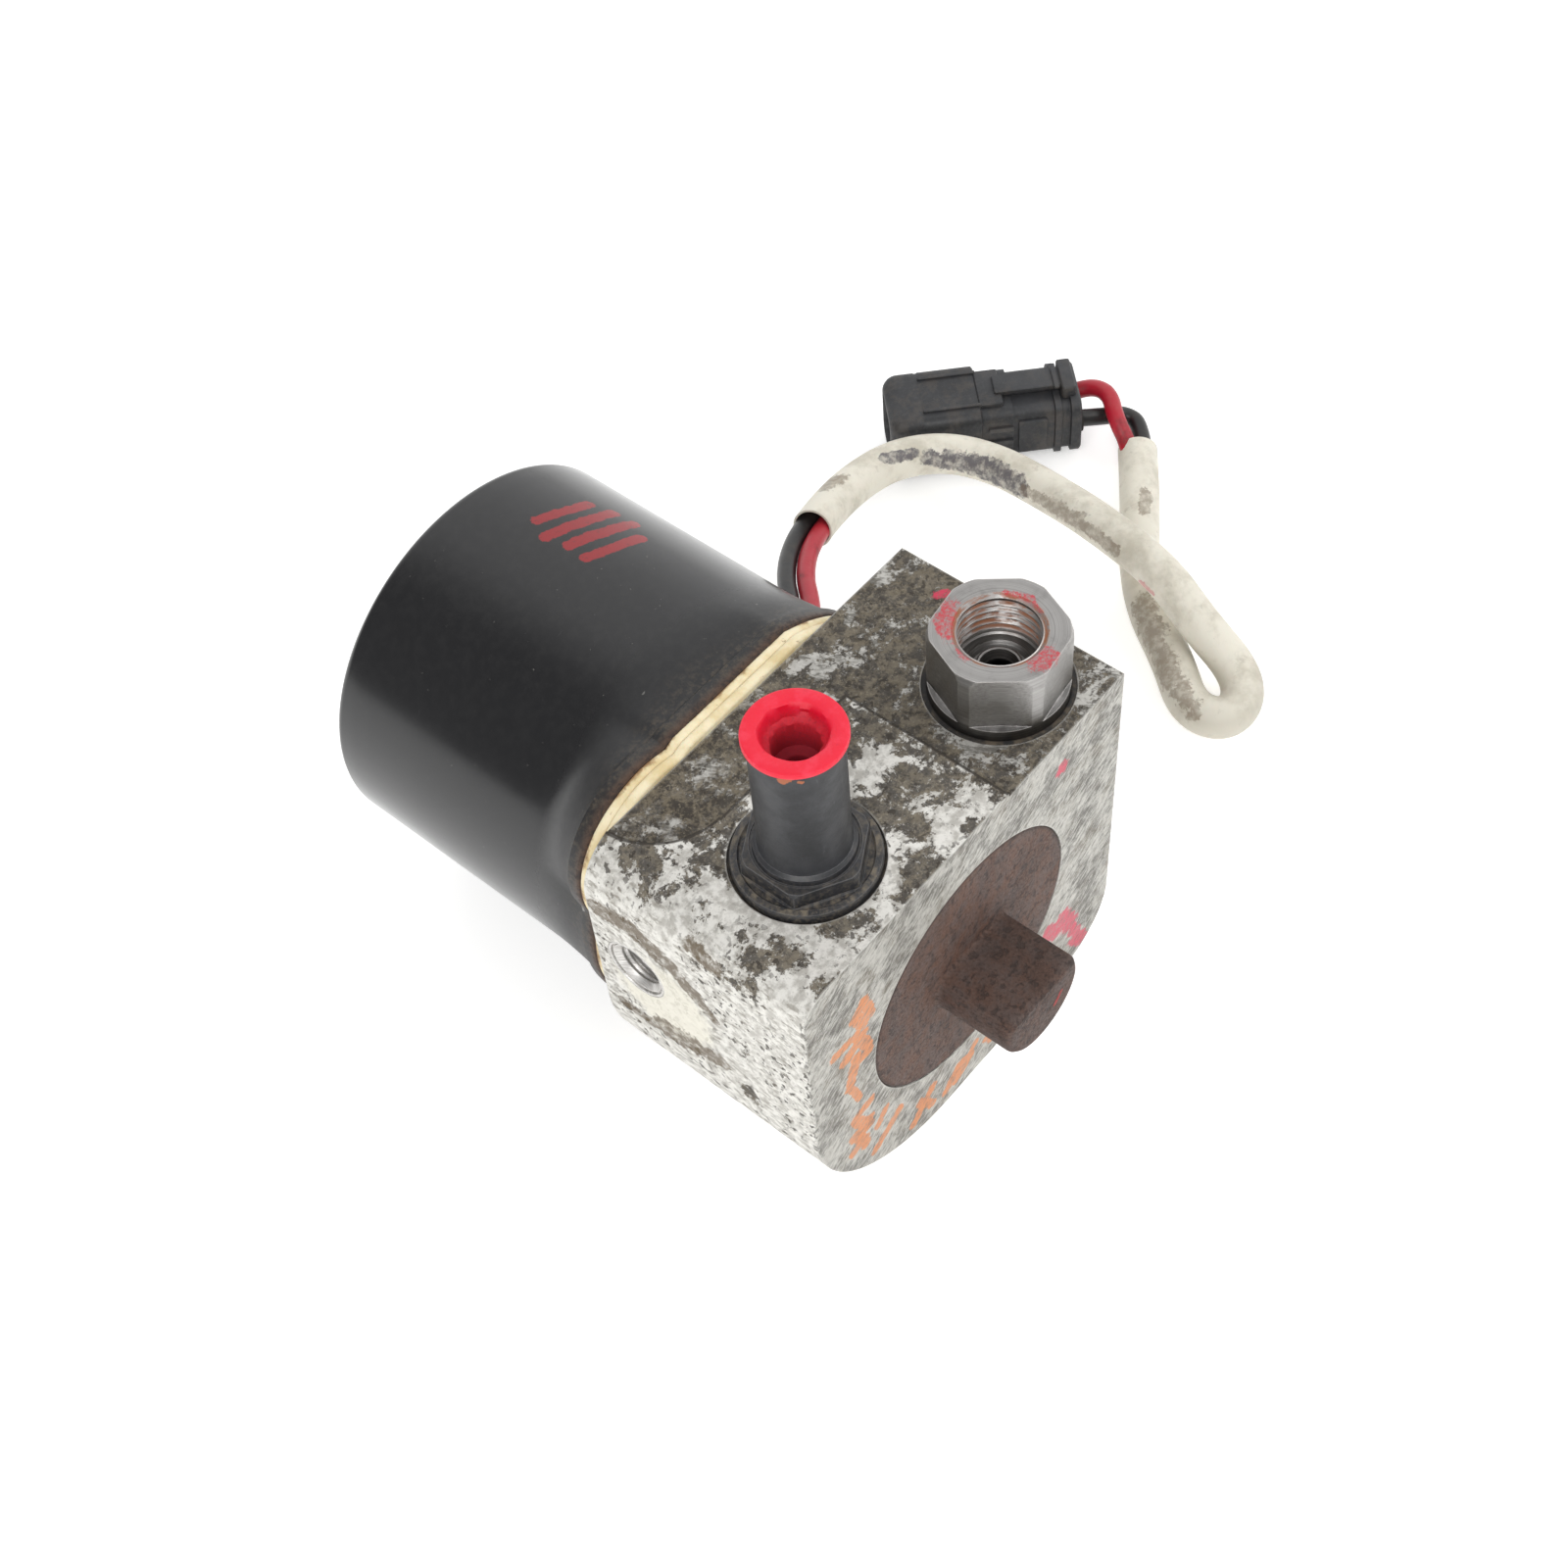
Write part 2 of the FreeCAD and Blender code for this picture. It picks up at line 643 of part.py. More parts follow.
def makeStage(prefix, carrierStart, shaftRadius):
    """A carrier, its three pins and its three planets."""
    carrierEnd = carrierStart + s.carrierThick
    planetStart = carrierEnd + 0.3
    planetEnd = planetStart + s.planetThick
    pinSpots = [planetSpot(index)[1] for index in range(planetCount)]
    holes = [rod(f"{prefix}PinHole{n}", s.planetPinRadius, carrierStart - 1, carrierEnd + 1,
                 at=(asSize(x), asSize(z))) for n, (x, z) in enumerate(pinSpots)]
    if shaftRadius is not None:
        holes.append(rod(prefix + "CarrierBore", shaftRadius, carrierStart - 1, carrierEnd + 1))
    carrier = cut(prefix + "CarrierCut", rod(prefix + "CarrierDisc", s.carrierRadius, carrierStart,
                                             carrierEnd), *holes)
    publish(carrier, prefix + "_carrier")
    pins = [rod(f"{prefix}Pin{n}", s.planetPinRadius, carrierStart, planetEnd + 0.3,
                at=(asSize(x), asSize(z)))
            for n, (x, z) in enumerate(pinSpots)]
    publish(group(prefix + "Pins", *pins), prefix + "_planet_pins")
    for index, letter in enumerate("abc"):
        angle, (x, z) = planetSpot(index)
        blank = gearBlank(f"{prefix}PlanetBlank{letter}", int(s.planetTeeth.value), toothShare, toothHeight,
                          rootDepth, planetStart.value, s.planetThick.value, planetPhase(angle), (x, z))
        bore = rod(f"{prefix}PlanetBore{letter}", s.planetPinRadius + s.runningFit, planetStart - 1,
                   planetEnd + 1, at=(asSize(x), asSize(z)))
        publish(cut(f"{prefix}Planet{letter}", blank, bore), f"{prefix}_planet_{letter}")
    return planetStart, planetEnd


def makeSun(label, start, end, bore):
    teeth = int(s.sunTeeth.value)
    blank = gearBlank(label + "Blank", teeth, toothShare, toothHeight, rootDepth, start.value,
                      (end - start).value)
    if bore is None:
        publish(blank, label)
    else:
        publish(cut(label + "Cut", blank, rod(label + "Bore", bore, start - 1, end + 1)), label)


def makeGears():
    makeRingGear()
    outputStart, outputEnd = makeStage("output", s.outputCarrierStart, s.shaftRadius)
    makeSun("second_sun", outputStart, s.firstCarrierStart, None)
    firstStart, firstEnd = makeStage("first", s.firstCarrierStart, None)
    makeSun("motor_pinion", firstStart, firstEnd, s.motorShaftRadius)


# ---------------------------------------------------------------- motor

def makeGaskets():
    for label, start, inset in (("gasket_block_side", s.blockLength, zero),
                                ("gasket_motor_side", s.blockLength + s.gasketThick, asSize(0.35))):
        body = newBody(label)
        padBack(body, label + "Pad", start, s.gasketThick, lambda sketch: flangeOutline(sketch, inset))
        pocketBack(body, label + "Hole", start, s.gasketThick,
                   lambda sketch: drawCircle(sketch, s.ringOuter + 0.4))
        for number, (x, z) in enumerate(plateScrewSpots()):
            pocketBack(body, f"{label}Screw{number}", start, s.gasketThick,
                       lambda sketch: drawCircle(sketch, 2.3, x, z))


def makeCan():
    mouth = s.blockLength + s.gasketThick * 2
    body = newBody("motor_can")
    padBack(body, "CanLip", mouth, s.lipThick, lambda sketch: flangeOutline(sketch, asSize(0.4)))
    flare = padBack(body, "CanFlare", mouth + s.lipThick, s.flareLength,
                    lambda sketch: flangeOutline(sketch, asSize(0.4)))
    flare.TaperAngle = -s.flareAngle.value
    bind(flare, "TaperAngle", -s.flareAngle)
    tube = padBack(body, "CanTube", mouth, s.canEnd - mouth, lambda sketch: drawCircle(sketch, s.canRadius))
    doc.recompute()
    rim = edgesWhere(tube.Shape, lambda edge: abs(edge.CenterOfMass.y - s.canEnd.value) < 0.01)
    dress(body, "Fillet", "CanRim", tube, rim, s.canRimRound)
    pocketBack(body, "CanMouth", mouth, s.plateThick, lambda sketch: flangeOutline(sketch, asSize(2)))
    pocketBack(body, "CanBore", mouth, s.canEnd - mouth - 2.2, lambda sketch: drawCircle(
        sketch, s.canRadius - s.canWall))
    doc.recompute()
    subParts.remove(body)
    body.Label = "can_drawing"
    drilled = cut("CanDrilled", body, rod("LeadHole", s.grommetRadius - 1.2, 30, 45, "X",
                                          (s.leadHoleY, asSize(-6.5))))
    publish(drilled, "motor_can")

    plate = newBody("end_plate")
    padBack(plate, "PlatePad", mouth, s.plateThick, lambda sketch: flangeOutline(sketch, asSize(2)))
    pocketBack(plate, "PlateHole", mouth, s.plateThick,
               lambda sketch: drawCircle(sketch, s.ringOuter + 0.1))
    for number, (x, z) in enumerate(plateScrewSpots()):
        pocketBack(plate, f"PlateScrew{number}", mouth, s.plateThick,
                   lambda sketch: drawCircle(sketch, 2.2, x, z))
    screws = []
    for number, spot in enumerate(plateScrewSpots()):
        head = cut(f"ScrewHeadCut{number}", rod(f"ScrewHead{number}", 3.5, mouth + s.plateThick,
                                                mouth + s.plateThick + 2.4, at=spot),
                   hexRod(f"ScrewSocket{number}", 2.5, mouth + s.plateThick + 1, 3, "Y", spot))
        screws.append(fuse(f"Screw{number}", rod(f"ScrewShank{number}", 2, 38, mouth + s.plateThick + 0.5,
                                                 at=spot), head))
    publish(group("PlateScrews", *screws), "plate_screws")


def makeStator():
    inside = s.canRadius - s.canWall
    magnets = []
    for number, turn in enumerate((30, 210)):
        outer = rod(f"MagnetOuter{number}", inside, s.coreStart - 3, s.coreEnd + 4, sweep=120, turn=turn)
        magnets.append(cut(f"Magnet{number}", outer, rod(f"MagnetInner{number}", s.magnetInner,
                                                         s.coreStart - 4, s.coreEnd + 5)))
    publish(group("Magnets", *magnets), "field_magnets")
    clips = []
    for number, turn in enumerate((152, 332)):
        outer = rod(f"ClipOuter{number}", inside, s.coreStart, s.coreEnd, sweep=56, turn=turn)
        clips.append(cut(f"Clip{number}", outer, rod(f"ClipInner{number}", inside - 1.2,
                                                     s.coreStart - 1, s.coreEnd + 1)))
    publish(group("Clips", *clips), "magnet_clips")

    bracketEnd = s.bearingStart + 2.4
    bracket = cut("Bracket", fuse("BracketWhole", rod("BracketDisc", inside, s.bearingStart, bracketEnd),
                                  rod("BracketHub", s.bearingRadius + 2, s.bearingStart,
                                      s.bearingStart + s.bearingWidth)),
                  rod("BracketBore", s.bearingRadius, 50, 75))
    publish(bracket, "bearing_bracket")
    publish(ring("FrontBearing", s.bearingRadius, s.motorShaftRadius + 2.2, s.bearingStart,
                 s.bearingStart + s.bearingWidth), "front_bearing_outer")
    cup = cut("RearCup", rod("RearCupDisc", 14, s.canEnd - 8.2, s.canEnd - 2.2),
              rod("RearCupBore", 7, 100, 118))
    publish(cup, "rear_bearing_cup")
    publish(ring("RearBush", 7, s.motorShaftRadius + s.runningFit, s.canEnd - 8.2, s.canEnd - 3.2),
            "rear_bush")


def makeBrushGear():
    cardStart = s.bearingStart + s.bearingWidth
    inside = s.canRadius - s.canWall
    middle = s.commutatorStart + s.commutatorLength / 2
    card = ring("BrushCard", inside, s.commutatorRadius + 3, cardStart, cardStart + 3)
    publish(card, "brush_card")
    boxes, brushes, springs = [], [], []
    for number, sign in enumerate((1, -1)):
        def radialBlock(name, wide, tall, near, far):
            low = near if sign > 0 else -asSize(far)
            return block(name, (wide, tall, asSize(far) - near),
                         (-asSize(wide) / 2, middle - asSize(tall) / 2, low))
        shell = radialBlock(f"HolderShell{number}", s.brushWide + 1.6, s.brushTall + 1.6, asSize(14),
                            asSize(30))
        hollow = radialBlock(f"HolderHollow{number}", s.brushWide + 0.1, s.brushTall + 0.1, asSize(13),
                             asSize(29))
        boxes.append(cut(f"Holder{number}", shell, hollow))
        carbon = radialBlock(f"Carbon{number}", s.brushWide, s.brushTall, s.commutatorRadius - 1,
                             asSize(21.5))
        brushes.append(cut(f"Brush{number}", carbon,
                           rod(f"BrushFace{number}", s.commutatorRadius + s.runningFit, 60, 90)))
        turns = 4
        corners = [(2.3 * math.cos(math.radians(60 * n)), 2.3 * math.sin(math.radians(60 * n)), 0.29 * n)
                   for n in range(6 * turns)]
        path = roundedPath(corners, f"spring {number}")
        heading = (Vector(*corners[1]) - Vector(*corners[0])).normalize()
        profile = Part.Wire([Part.makeCircle(0.35, Vector(*corners[0]), heading)])
        coil = doc.addObject("Part::Feature", f"BrushSpring{number}")
        coil.Shape = path.makePipeShell([profile], True, False)
        flip = Rotation() if sign > 0 else Rotation(Vector(1, 0, 0), 180)
        coil.Placement = FreeCAD.Placement(Vector(0, middle.value, sign * 21.9), flip)
        springs.append(coil)
    publish(group("BrushHolders", *boxes), "brush_holders")
    publish(group("Brushes", *brushes), "carbon_brushes")
    publish(group("BrushSprings", *springs), "brush_springs")


def makeArmature():
    publish(rod("MotorShaft", s.motorShaftRadius, s.firstCarrierStart + s.carrierThick + 0.6,
                s.canEnd - 2.6),
            "motor_shaft")
    publish(ring("BearingInner", s.motorShaftRadius + 2, s.motorShaftRadius, s.bearingStart,
                 s.bearingStart + s.bearingWidth), "front_bearing_inner")
    slots, bars = [], []
    slotCount = 12
    for number in range(slotCount):
        angle = 2 * math.pi * number / slotCount
        spot = (s.slotReach * math.cos(angle), s.slotReach * math.sin(angle))
        slots.append(rod(f"Slot{number}", s.slotRadius, s.coreStart - 1, s.coreEnd + 1, at=spot))
        mouth = block(f"SlotMouth{number}", (10, s.coreEnd - s.coreStart + 2, 1.6), (zero, zero, zero))
        turn = Rotation(Vector(0, 1, 0), math.degrees(-angle))
        start = turn.multVec(Vector(s.slotReach.value, s.coreStart.value - 1, -0.8))
        mouth.setExpression("Placement.Base.x", None)
        mouth.setExpression("Placement.Base.y", None)
        mouth.setExpression("Placement.Base.z", None)
        mouth.Placement = FreeCAD.Placement(start, turn)
        slots.append(mouth)
        bars.append(rod(f"Bar{number}", s.slotRadius - 0.3, s.coreStart - 2, s.coreEnd + 2, at=spot))
    core = cut("Core", rod("CoreDisc", s.coreRadius, s.coreStart, s.coreEnd),
               rod("CoreBore", s.motorShaftRadius, s.coreStart - 1, s.coreEnd + 1), *slots)
    publish(core, "armature_core")
    turnsFront = ring("TurnsFront", s.slotReach + 3, 9, s.coreStart - 2.4, s.coreStart - 0.2)
    turnsRear = ring("TurnsRear", s.slotReach + 3, 15.5, s.coreEnd + 0.2, s.coreEnd + 3.4)
    publish(fuse("Windings", turnsFront, turnsRear, *bars), "armature_windings")
    grooves = []
    for number in range(slotCount):
        angle = 360 / slotCount * number
        turn = Rotation(Vector(0, 1, 0), angle)
        groove = doc.addObject("Part::Box", f"Groove{number}")
        groove.Length = 2
        groove.Width = s.commutatorLength.value + 2
        groove.Height = 0.6
        groove.Placement = FreeCAD.Placement(
            turn.multVec(Vector(s.commutatorRadius.value - 0.8, s.commutatorStart.value - 1, -0.3)), turn)
        grooves.append(groove)
    commutator = cut("Commutator", ring("CommutatorRing", s.commutatorRadius, s.motorShaftRadius,
                                        s.commutatorStart, s.commutatorStart + s.commutatorLength), *grooves)
    publish(commutator, "commutator")


# ---------------------------------------------------------------- ports on top of the block

def makePorts():
    spot = (s.adaptorX, s.adaptorY)
    seat = s.blockTop - 2
    outer = fuse("AdaptorOutside", rod("AdaptorCollar", s.adaptorRadius, seat, s.blockTop + 2.4, "Z", spot),
                 doc.addObject("Part::Common", "AdaptorHex"),
                 rod("AdaptorSpigot", 9, s.spigotEnd, seat + 1, "Z", spot))
    corners = doc.getObject("AdaptorHex")
    corners.Base = hexRod("AdaptorPrism", s.adaptorFlats, s.blockTop + 1, s.adaptorTop - s.blockTop - 1,
                          "Z", spot, 8)
    corners.Tool = fuse("AdaptorTurning", rod("AdaptorTurned", s.adaptorRadius, s.blockTop,
                                              s.adaptorTop - 1.4, "Z", spot),
                        cone("AdaptorTopChamfer", s.adaptorRadius, s.adaptorRadius - 0.4,
                             s.adaptorTop - 1.4,
                             s.adaptorTop, "Z", spot))
    adaptor = cut("Adaptor", outer,
                  rod("AdaptorThreadBore", s.adaptorThread, s.adaptorTop - 9.5, s.adaptorTop + 1, "Z",
                      spot),
                  cone("AdaptorMouth", s.adaptorThread, s.adaptorThread + 1, s.adaptorTop - 1,
                       s.adaptorTop + 0.01,
                       "Z", spot),
                  cone("AdaptorSeat", s.adaptorBore, 5.6, s.adaptorTop - 13.5, s.adaptorTop - 9.4, "Z",
                       spot),
                  rod("AdaptorThrough", s.adaptorBore, 10, s.adaptorTop, "Z", spot))
    publish(adaptor, "port_adaptor")
    washer = ring("AdaptorSeal", s.adaptorRadius + 0.95, s.adaptorRadius + 0.05, s.blockTop - 2,
                  s.blockTop - 0.9, "Z", spot)
    publish(washer, "adaptor_oring")

    spot = (s.hoseX, s.hoseY)
    seat = s.blockTop - 1.2
    whole = fuse("HoseOutside", rod("HoseFlange", s.hoseFlangeRadius, seat, seat + 2.6, "Z", spot),
                 hexRod("HoseHex", 19, seat + 2, 3.6, "Z", spot, 30),
                 cone("HoseFoot", s.hoseTubeRadius + 1.4, s.hoseTubeRadius, seat + 5, seat + 8, "Z", spot),
                 rod("HoseTube", s.hoseTubeRadius, 23, s.hoseTop, "Z", spot))
    publish(cut("HoseStub", whole, rod("HoseBore", s.hoseBore, 10, 80, "Z", spot)), "hose_stub")
    seal = ring("HoseSeal", s.hoseFlangeRadius + 0.45, s.hoseFlangeRadius + 0.05, seat, seat + 0.7, "Z",
                spot)
    publish(seal, "hose_stub_oring")
    revolveUp("transit_cap", spot, [
        (0, s.capTop - 15), (s.hoseBore - 0.4, s.capTop - 15), (s.hoseBore, s.capTop - 9), (s.hoseBore,
                                                                                            s.hoseTop),
        (s.capRim, s.hoseTop), (s.capRim, s.capTop - 0.25), (s.capRim - 0.25, s.capTop), (5.5, s.capTop),
        (5.1, s.capTop - 1.6), (4.3, s.capTop - 4.2), (4.1, s.capTop - 13.5), (0, s.capTop - 13.5)])


# ---------------------------------------------------------------- leads, sleeve and plug

# the lead pair's route, from the can's wall to the sleeve's far end
pairRoute = [
    (36.6, 75.0, -6.5), (44.5, 76.0, -8.0), (50.5, 81.0, -10.2), (57.0, 88.5, -12.8), (66.5, 95.0, -15.8),
    (78.8, 99.1, -19.2), (92.2, 101.7, -22.8), (105.0, 100.7, -25.4), (114.4, 93.4, -26.6), (117.8, 82.0,
                                                                                             -26.6),
    (116.6, 68.5, -25.2), (113.6, 53.5, -22.2), (110.8, 34.0, -22.2), (108.9, 22.0, -29.4), (107.0, 10.4,
                                                                                             -34.6),
    (100.4, 6.2, -36.0), (93.3, 9.2, -36.0), (91.4, 16.8, -36.0), (98.6, 26.4, -36.0), (108.4, 37.2, -36.0),
    (119.6, 46.4, -36.0), (134.0, 55.4, -36.0), (147.0, 65.2, -36.0),
]
# how far round each other the two leads lie at each point, in degrees
pairTwist = [0] * 17 + [20, 60, 100, 140, 180, 180]
redTail = [(151.0, 71.0, -31.4), (155.2, 77.4, -29.8), (152.6, 82.3, -31.8), (148.0, 86.7, -32.4)]
blackTail = [(154.6, 68.4, -35.6), (154.4, 73.4, -34.8), (148.4, 76.4, -32.8), (143.0, 81.5, -32.4)]


def roundedPath(points, label):
    """Straight runs joined by arcs as large as the runs allow; prints the radii."""
    spots = [Vector(*point) for point in points]
    edges = []
    last = spots[0]
    radii = []
    for before, here, after in zip(spots, spots[1:], spots[2:]):
        back = before - here
        ahead = after - here
        shorter = min(back.Length, ahead.Length)
        back.normalize()
        ahead.normalize()
        turn = math.pi - back.getAngle(ahead)
        reach = 0.45 * shorter
        radii.append(reach / math.tan(turn / 2))
        start = here + back * reach
        end = here + ahead * reach
        inward = (back + ahead).normalize()
        middle = here + inward * (radii[-1] / math.cos(turn / 2) - radii[-1])
        edges.append(Part.LineSegment(last, start).toShape())
        edges.append(Part.Arc(start, middle, end).toShape())
        last = end
    edges.append(Part.LineSegment(last, spots[-1]).toShape())
    print(label, "radii", " ".join(f"{radius:.1f}" for radius in radii))
    return Part.Wire(edges)


def tube(label, points, radius, bore=0.0):
    """A round tube along a route, its volume compared with section times length."""
    path = roundedPath(points, label)
    heading = (Vector(*points[1]) - Vector(*points[0])).normalize()

    def sweep(size):
        profile = Part.Wire([Part.makeCircle(size, Vector(*points[0]), heading)])
        return path.makePipeShell([profile], True, False)

    solid = sweep(radius)
    if bore:
        solid = solid.cut(sweep(bore))
    expected = math.pi * (radius ** 2 - bore ** 2) * path.Length
    print(f"{label} length {path.Length:.1f} volume {solid.Volume:.0f} expected {expected:.0f}")
    item = doc.addObject("Part::Feature", label + "Tube")
    item.Shape = solid
    return publish(item, label)


def besideRoute(side):
    """The pair's route moved to one lead's place: side 1 starts on the right of the way along."""
    spots = [Vector(*point) for point in pairRoute]
    headings = [(after - before).normalize() for before, after in zip(spots, spots[1:])]
    rights = [heading.cross(Vector(0, 0, 1)).normalize() for heading in headings]
    moved = []
    for index, here in enumerate(spots):
        before = rights[max(index - 1, 0)]
        after = rights[min(index, len(rights) - 1)]
        middle = (before + after).normalize()
        mitre = 1 / middle.dot(before)
        up = middle.cross(headings[min(index, len(headings) - 1)])
        twist = math.radians(pairTwist[index])
        offset = middle * math.cos(twist) * mitre + up * math.sin(twist)
        moved.append(tuple(here + offset * side * s.leadSpread.value))
    return moved


def midway(first, second):
    return tuple((a + b) / 2 for a, b in zip(first, second))


def makeLeads():
    tube("lead_red", besideRoute(1) + redTail, s.leadRadius.value)
    tube("lead_black", besideRoute(-1)[:-1] + blackTail, s.leadRadius.value)
    sleeve = [midway(pairRoute[4], pairRoute[5])] + pairRoute[5:]
    tube("lead_sleeve", sleeve, s.sleeveRadius.value, s.sleeveBore.value)
    holes = [rod(f"GrommetHole{n}", s.leadRadius, 30, 46, "X",
                 (s.leadHoleY + s.leadSpread * sign, asSize(-6.5)))
             for n, sign in enumerate((-1, 1))]
    spot = (s.leadHoleY, asSize(-6.5))
    grommet = cut("Grommet", fuse("GrommetWhole", rod("GrommetHead", s.grommetRadius, 37.9, 40.6, "X",
                                                      spot),
                                  rod("GrommetNeck", s.grommetRadius - 1.2, 34, 39, "X", spot)),
                  rod("GrommetCanClear", s.canRadius, 60, 90), *holes)
    neck = cut("GrommetNeckCut", rod("GrommetInner", s.grommetRadius - 1.2, 34, 39, "X", spot),
               *[rod(f"GrommetInnerHole{n}", s.leadRadius, 30, 46, "X",
                     (s.leadHoleY + s.leadSpread * sign, asSize(-6.5))) for n, sign in enumerate((-1, 1))])
    publish(fuse("GrommetJoined", grommet, neck), "lead_grommet")


def makePlug():
    """The two-way plug, drawn along its own X axis and laid down at its yaw."""
    yaw = Rotation(Vector(0, 0, 1), s.plugYaw.value)
    floor = s.blockBottom.value
    placement = FreeCAD.Placement(Vector(s.plugX.value, s.plugY.value, floor), yaw)

    def lay(item, label):
        holder = doc.addObject("Part::Compound", label + "Laid")
        holder.Links = [item]
        holder.Placement = placement
        return publish(holder, label)

    half = s.plugLength / 2
    wide = s.plugWide
    tall = s.plugTall
    split = 6
    shellWhole = block("PlugShellBox", (half + split, wide, tall), (-half, -wide / 2, zero))
    shellRound = doc.addObject("Part::Fillet", "PlugShellRound")
    shellRound.Base = shellWhole
    doc.recompute()
    longEdges = [n for n, edge in enumerate(shellWhole.Shape.Edges, start=1) if edge.Length > 20]
    shellRound.Edges = [(number, 3.0, 3.0) for number in longEdges]
    shell = cut("PlugShell", shellRound,
                block("PlugMouth", (17, wide - 5, tall - 5.4), (-half - 1, -wide / 2 + 2.5, asSize(2.7))))
    lay(shell, "plug_shell")
    rear = block("PlugRearBox", (half - split, wide - 1.6, tall - 1.6),
                 (asSize(split), -wide / 2 + 0.8, asSize(0)))
    holes = [rod(f"PlugWireHole{n}", 3.1, half - 9, half + 1, "X", (asSize(3.6 * sign), tall / 2))
             for n, sign in enumerate((1, -1))]
    lay(cut("PlugRear", rear, *holes), "plug_rear_body")
    seals = [ring(f"PlugSeal{n}", 3.1, s.leadRadius, half - 9, half + 0.6, "X",
                  (asSize(3.6 * sign), tall / 2))
             for n, sign in enumerate((1, -1))]
    lay(group("PlugSeals", *seals), "plug_wire_seals")
    pins = [block(f"PlugTerminal{n}", (12, 2.8, 0.8), (-half + 4, asSize(3.6 * sign - 1.4), tall / 2 - 0.4))
            for n, sign in enumerate((1, -1))]
    lay(group("PlugTerminals", *pins), "plug_terminals")
    arm = block("LatchArm", (20, 6, 1.6), (asSize(-1), asSize(-3), tall))
    tab = block("LatchTab", (5, 8, 2.6), (half - 6, asSize(-4), tall - 0.8))
    lay(fuse("PlugLatch", arm, tab), "plug_latch")


makeBlock()
makeSealsAndFixtures()
makeSpindle()
makeGears()
makeGaskets()
makeCan()
makeStator()
makeBrushGear()
makeArmature()
makePorts()
makeLeads()
makePlug()
doc.recompute()

failed = [item.Name for item in doc.Objects if {"Invalid", "Error"} & set(item.State)]
bad = [item.Label for item in subParts if item.Shape.isNull() or not item.Shape.isValid()]
if failed or bad:
    raise SystemExit(f"failed {failed} bad {bad}")

os.makedirs("parts", exist_ok=True)
for item in subParts:
    item.Shape.exportStep(f"parts/{item.Label}.step")
    print(item.Label, len(item.Shape.Solids), "solids", round(item.Shape.Volume), "mm3")
print(len(subParts), "sub-parts")
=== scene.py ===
import json
import math

import bmesh
import bpy
from mathutils import Matrix, Vector, noise


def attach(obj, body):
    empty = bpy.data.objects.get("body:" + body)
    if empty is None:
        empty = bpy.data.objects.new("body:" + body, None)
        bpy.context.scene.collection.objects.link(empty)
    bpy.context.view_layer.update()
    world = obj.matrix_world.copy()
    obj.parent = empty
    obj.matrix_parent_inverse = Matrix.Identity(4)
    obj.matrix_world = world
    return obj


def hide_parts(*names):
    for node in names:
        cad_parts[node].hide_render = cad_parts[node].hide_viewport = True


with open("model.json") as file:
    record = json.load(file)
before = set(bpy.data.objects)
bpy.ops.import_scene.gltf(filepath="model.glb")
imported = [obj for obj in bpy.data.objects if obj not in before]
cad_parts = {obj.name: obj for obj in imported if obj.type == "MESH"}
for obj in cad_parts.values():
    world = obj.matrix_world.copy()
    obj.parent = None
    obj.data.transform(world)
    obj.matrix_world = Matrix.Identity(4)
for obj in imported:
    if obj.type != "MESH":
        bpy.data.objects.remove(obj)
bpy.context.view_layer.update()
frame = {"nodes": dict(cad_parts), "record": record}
nodes = frame["nodes"]
millimetre = 0.001
weldDistance = 1e-7
print("frame loaded", len(nodes), "nodes")

cameraSetup = {
    "position": (-0.1672, -0.1270, 0.3367),
    "target": (-0.00578, 0.03502, 0.02812),
    "roll": -6.26,        # degrees, about the line of sight
    "lens": 52.5,
    "sensor": 36,         # millimetres
    "clipStart": 0.01,
}


def makeCamera():
    data = bpy.data.cameras.new("productCamera")
    data.lens = cameraSetup["lens"]
    data.sensor_width = cameraSetup["sensor"]
    data.clip_start = cameraSetup["clipStart"]
    camera = bpy.data.objects.new("productCamera", data)
    bpy.context.scene.collection.objects.link(camera)
    position = Vector(cameraSetup["position"])
    back = (position - Vector(cameraSetup["target"])).normalized()
    right = Vector((0, 0, 1)).cross(back).normalized()
    up = back.cross(right)
    roll = math.radians(cameraSetup["roll"])
    tiltedRight = right * math.cos(roll) + up * math.sin(roll)
    tiltedUp = up * math.cos(roll) - right * math.sin(roll)
    turn = Matrix((tiltedRight, tiltedUp, back)).transposed().to_4x4()
    camera.matrix_world = Matrix.Translation(position) @ turn
    bpy.context.scene.camera = camera


makeCamera()

cordSetup = {
    "leadRadius": 1.95,
    "leadSpread": 1.98,
    "sleeveOuter": 4.4,
    "sleeveWall": 0.42,
    "redLength": 0.290,
    "blackLength": 0.300,
    "curveSteps": 10,
    "roundSteps": 6,
    "sleeveSides": 40,
    "sleeveWaveScale": 60,
    "sleeveWave": 0.035,
}
# the pair's route in millimetres, from inside the can to the sleeve's far end
pairRoute = [
    (36.6, 75.0, -6.5), (44.5, 76.0, -8.0), (50.5, 81.0, -10.2), (57.0, 88.5, -12.8),
    (66.5, 95.0, -15.8), (78.8, 99.1, -19.2), (92.2, 101.7, -22.8), (105.0, 100.7, -25.4),
    (114.4, 93.4, -26.6), (117.8, 82.0, -26.6), (116.6, 68.5, -25.2), (113.4, 53.5, -22.2),
    (110.0, 34.6, -22.2), (107.6, 22.8, -28.8), (106.2, 11.6, -34.2), (101.0, 6.8, -36.0),
    (94.2, 7.6, -36.0), (93.0, 15.2, -36.0), (101.4, 24.6, -36.0), (109.8, 37.0, -36.0),
    (120.6, 46.6, -36.0), (134.0, 55.4, -36.0), (147.0, 65.2, -36.0),
]
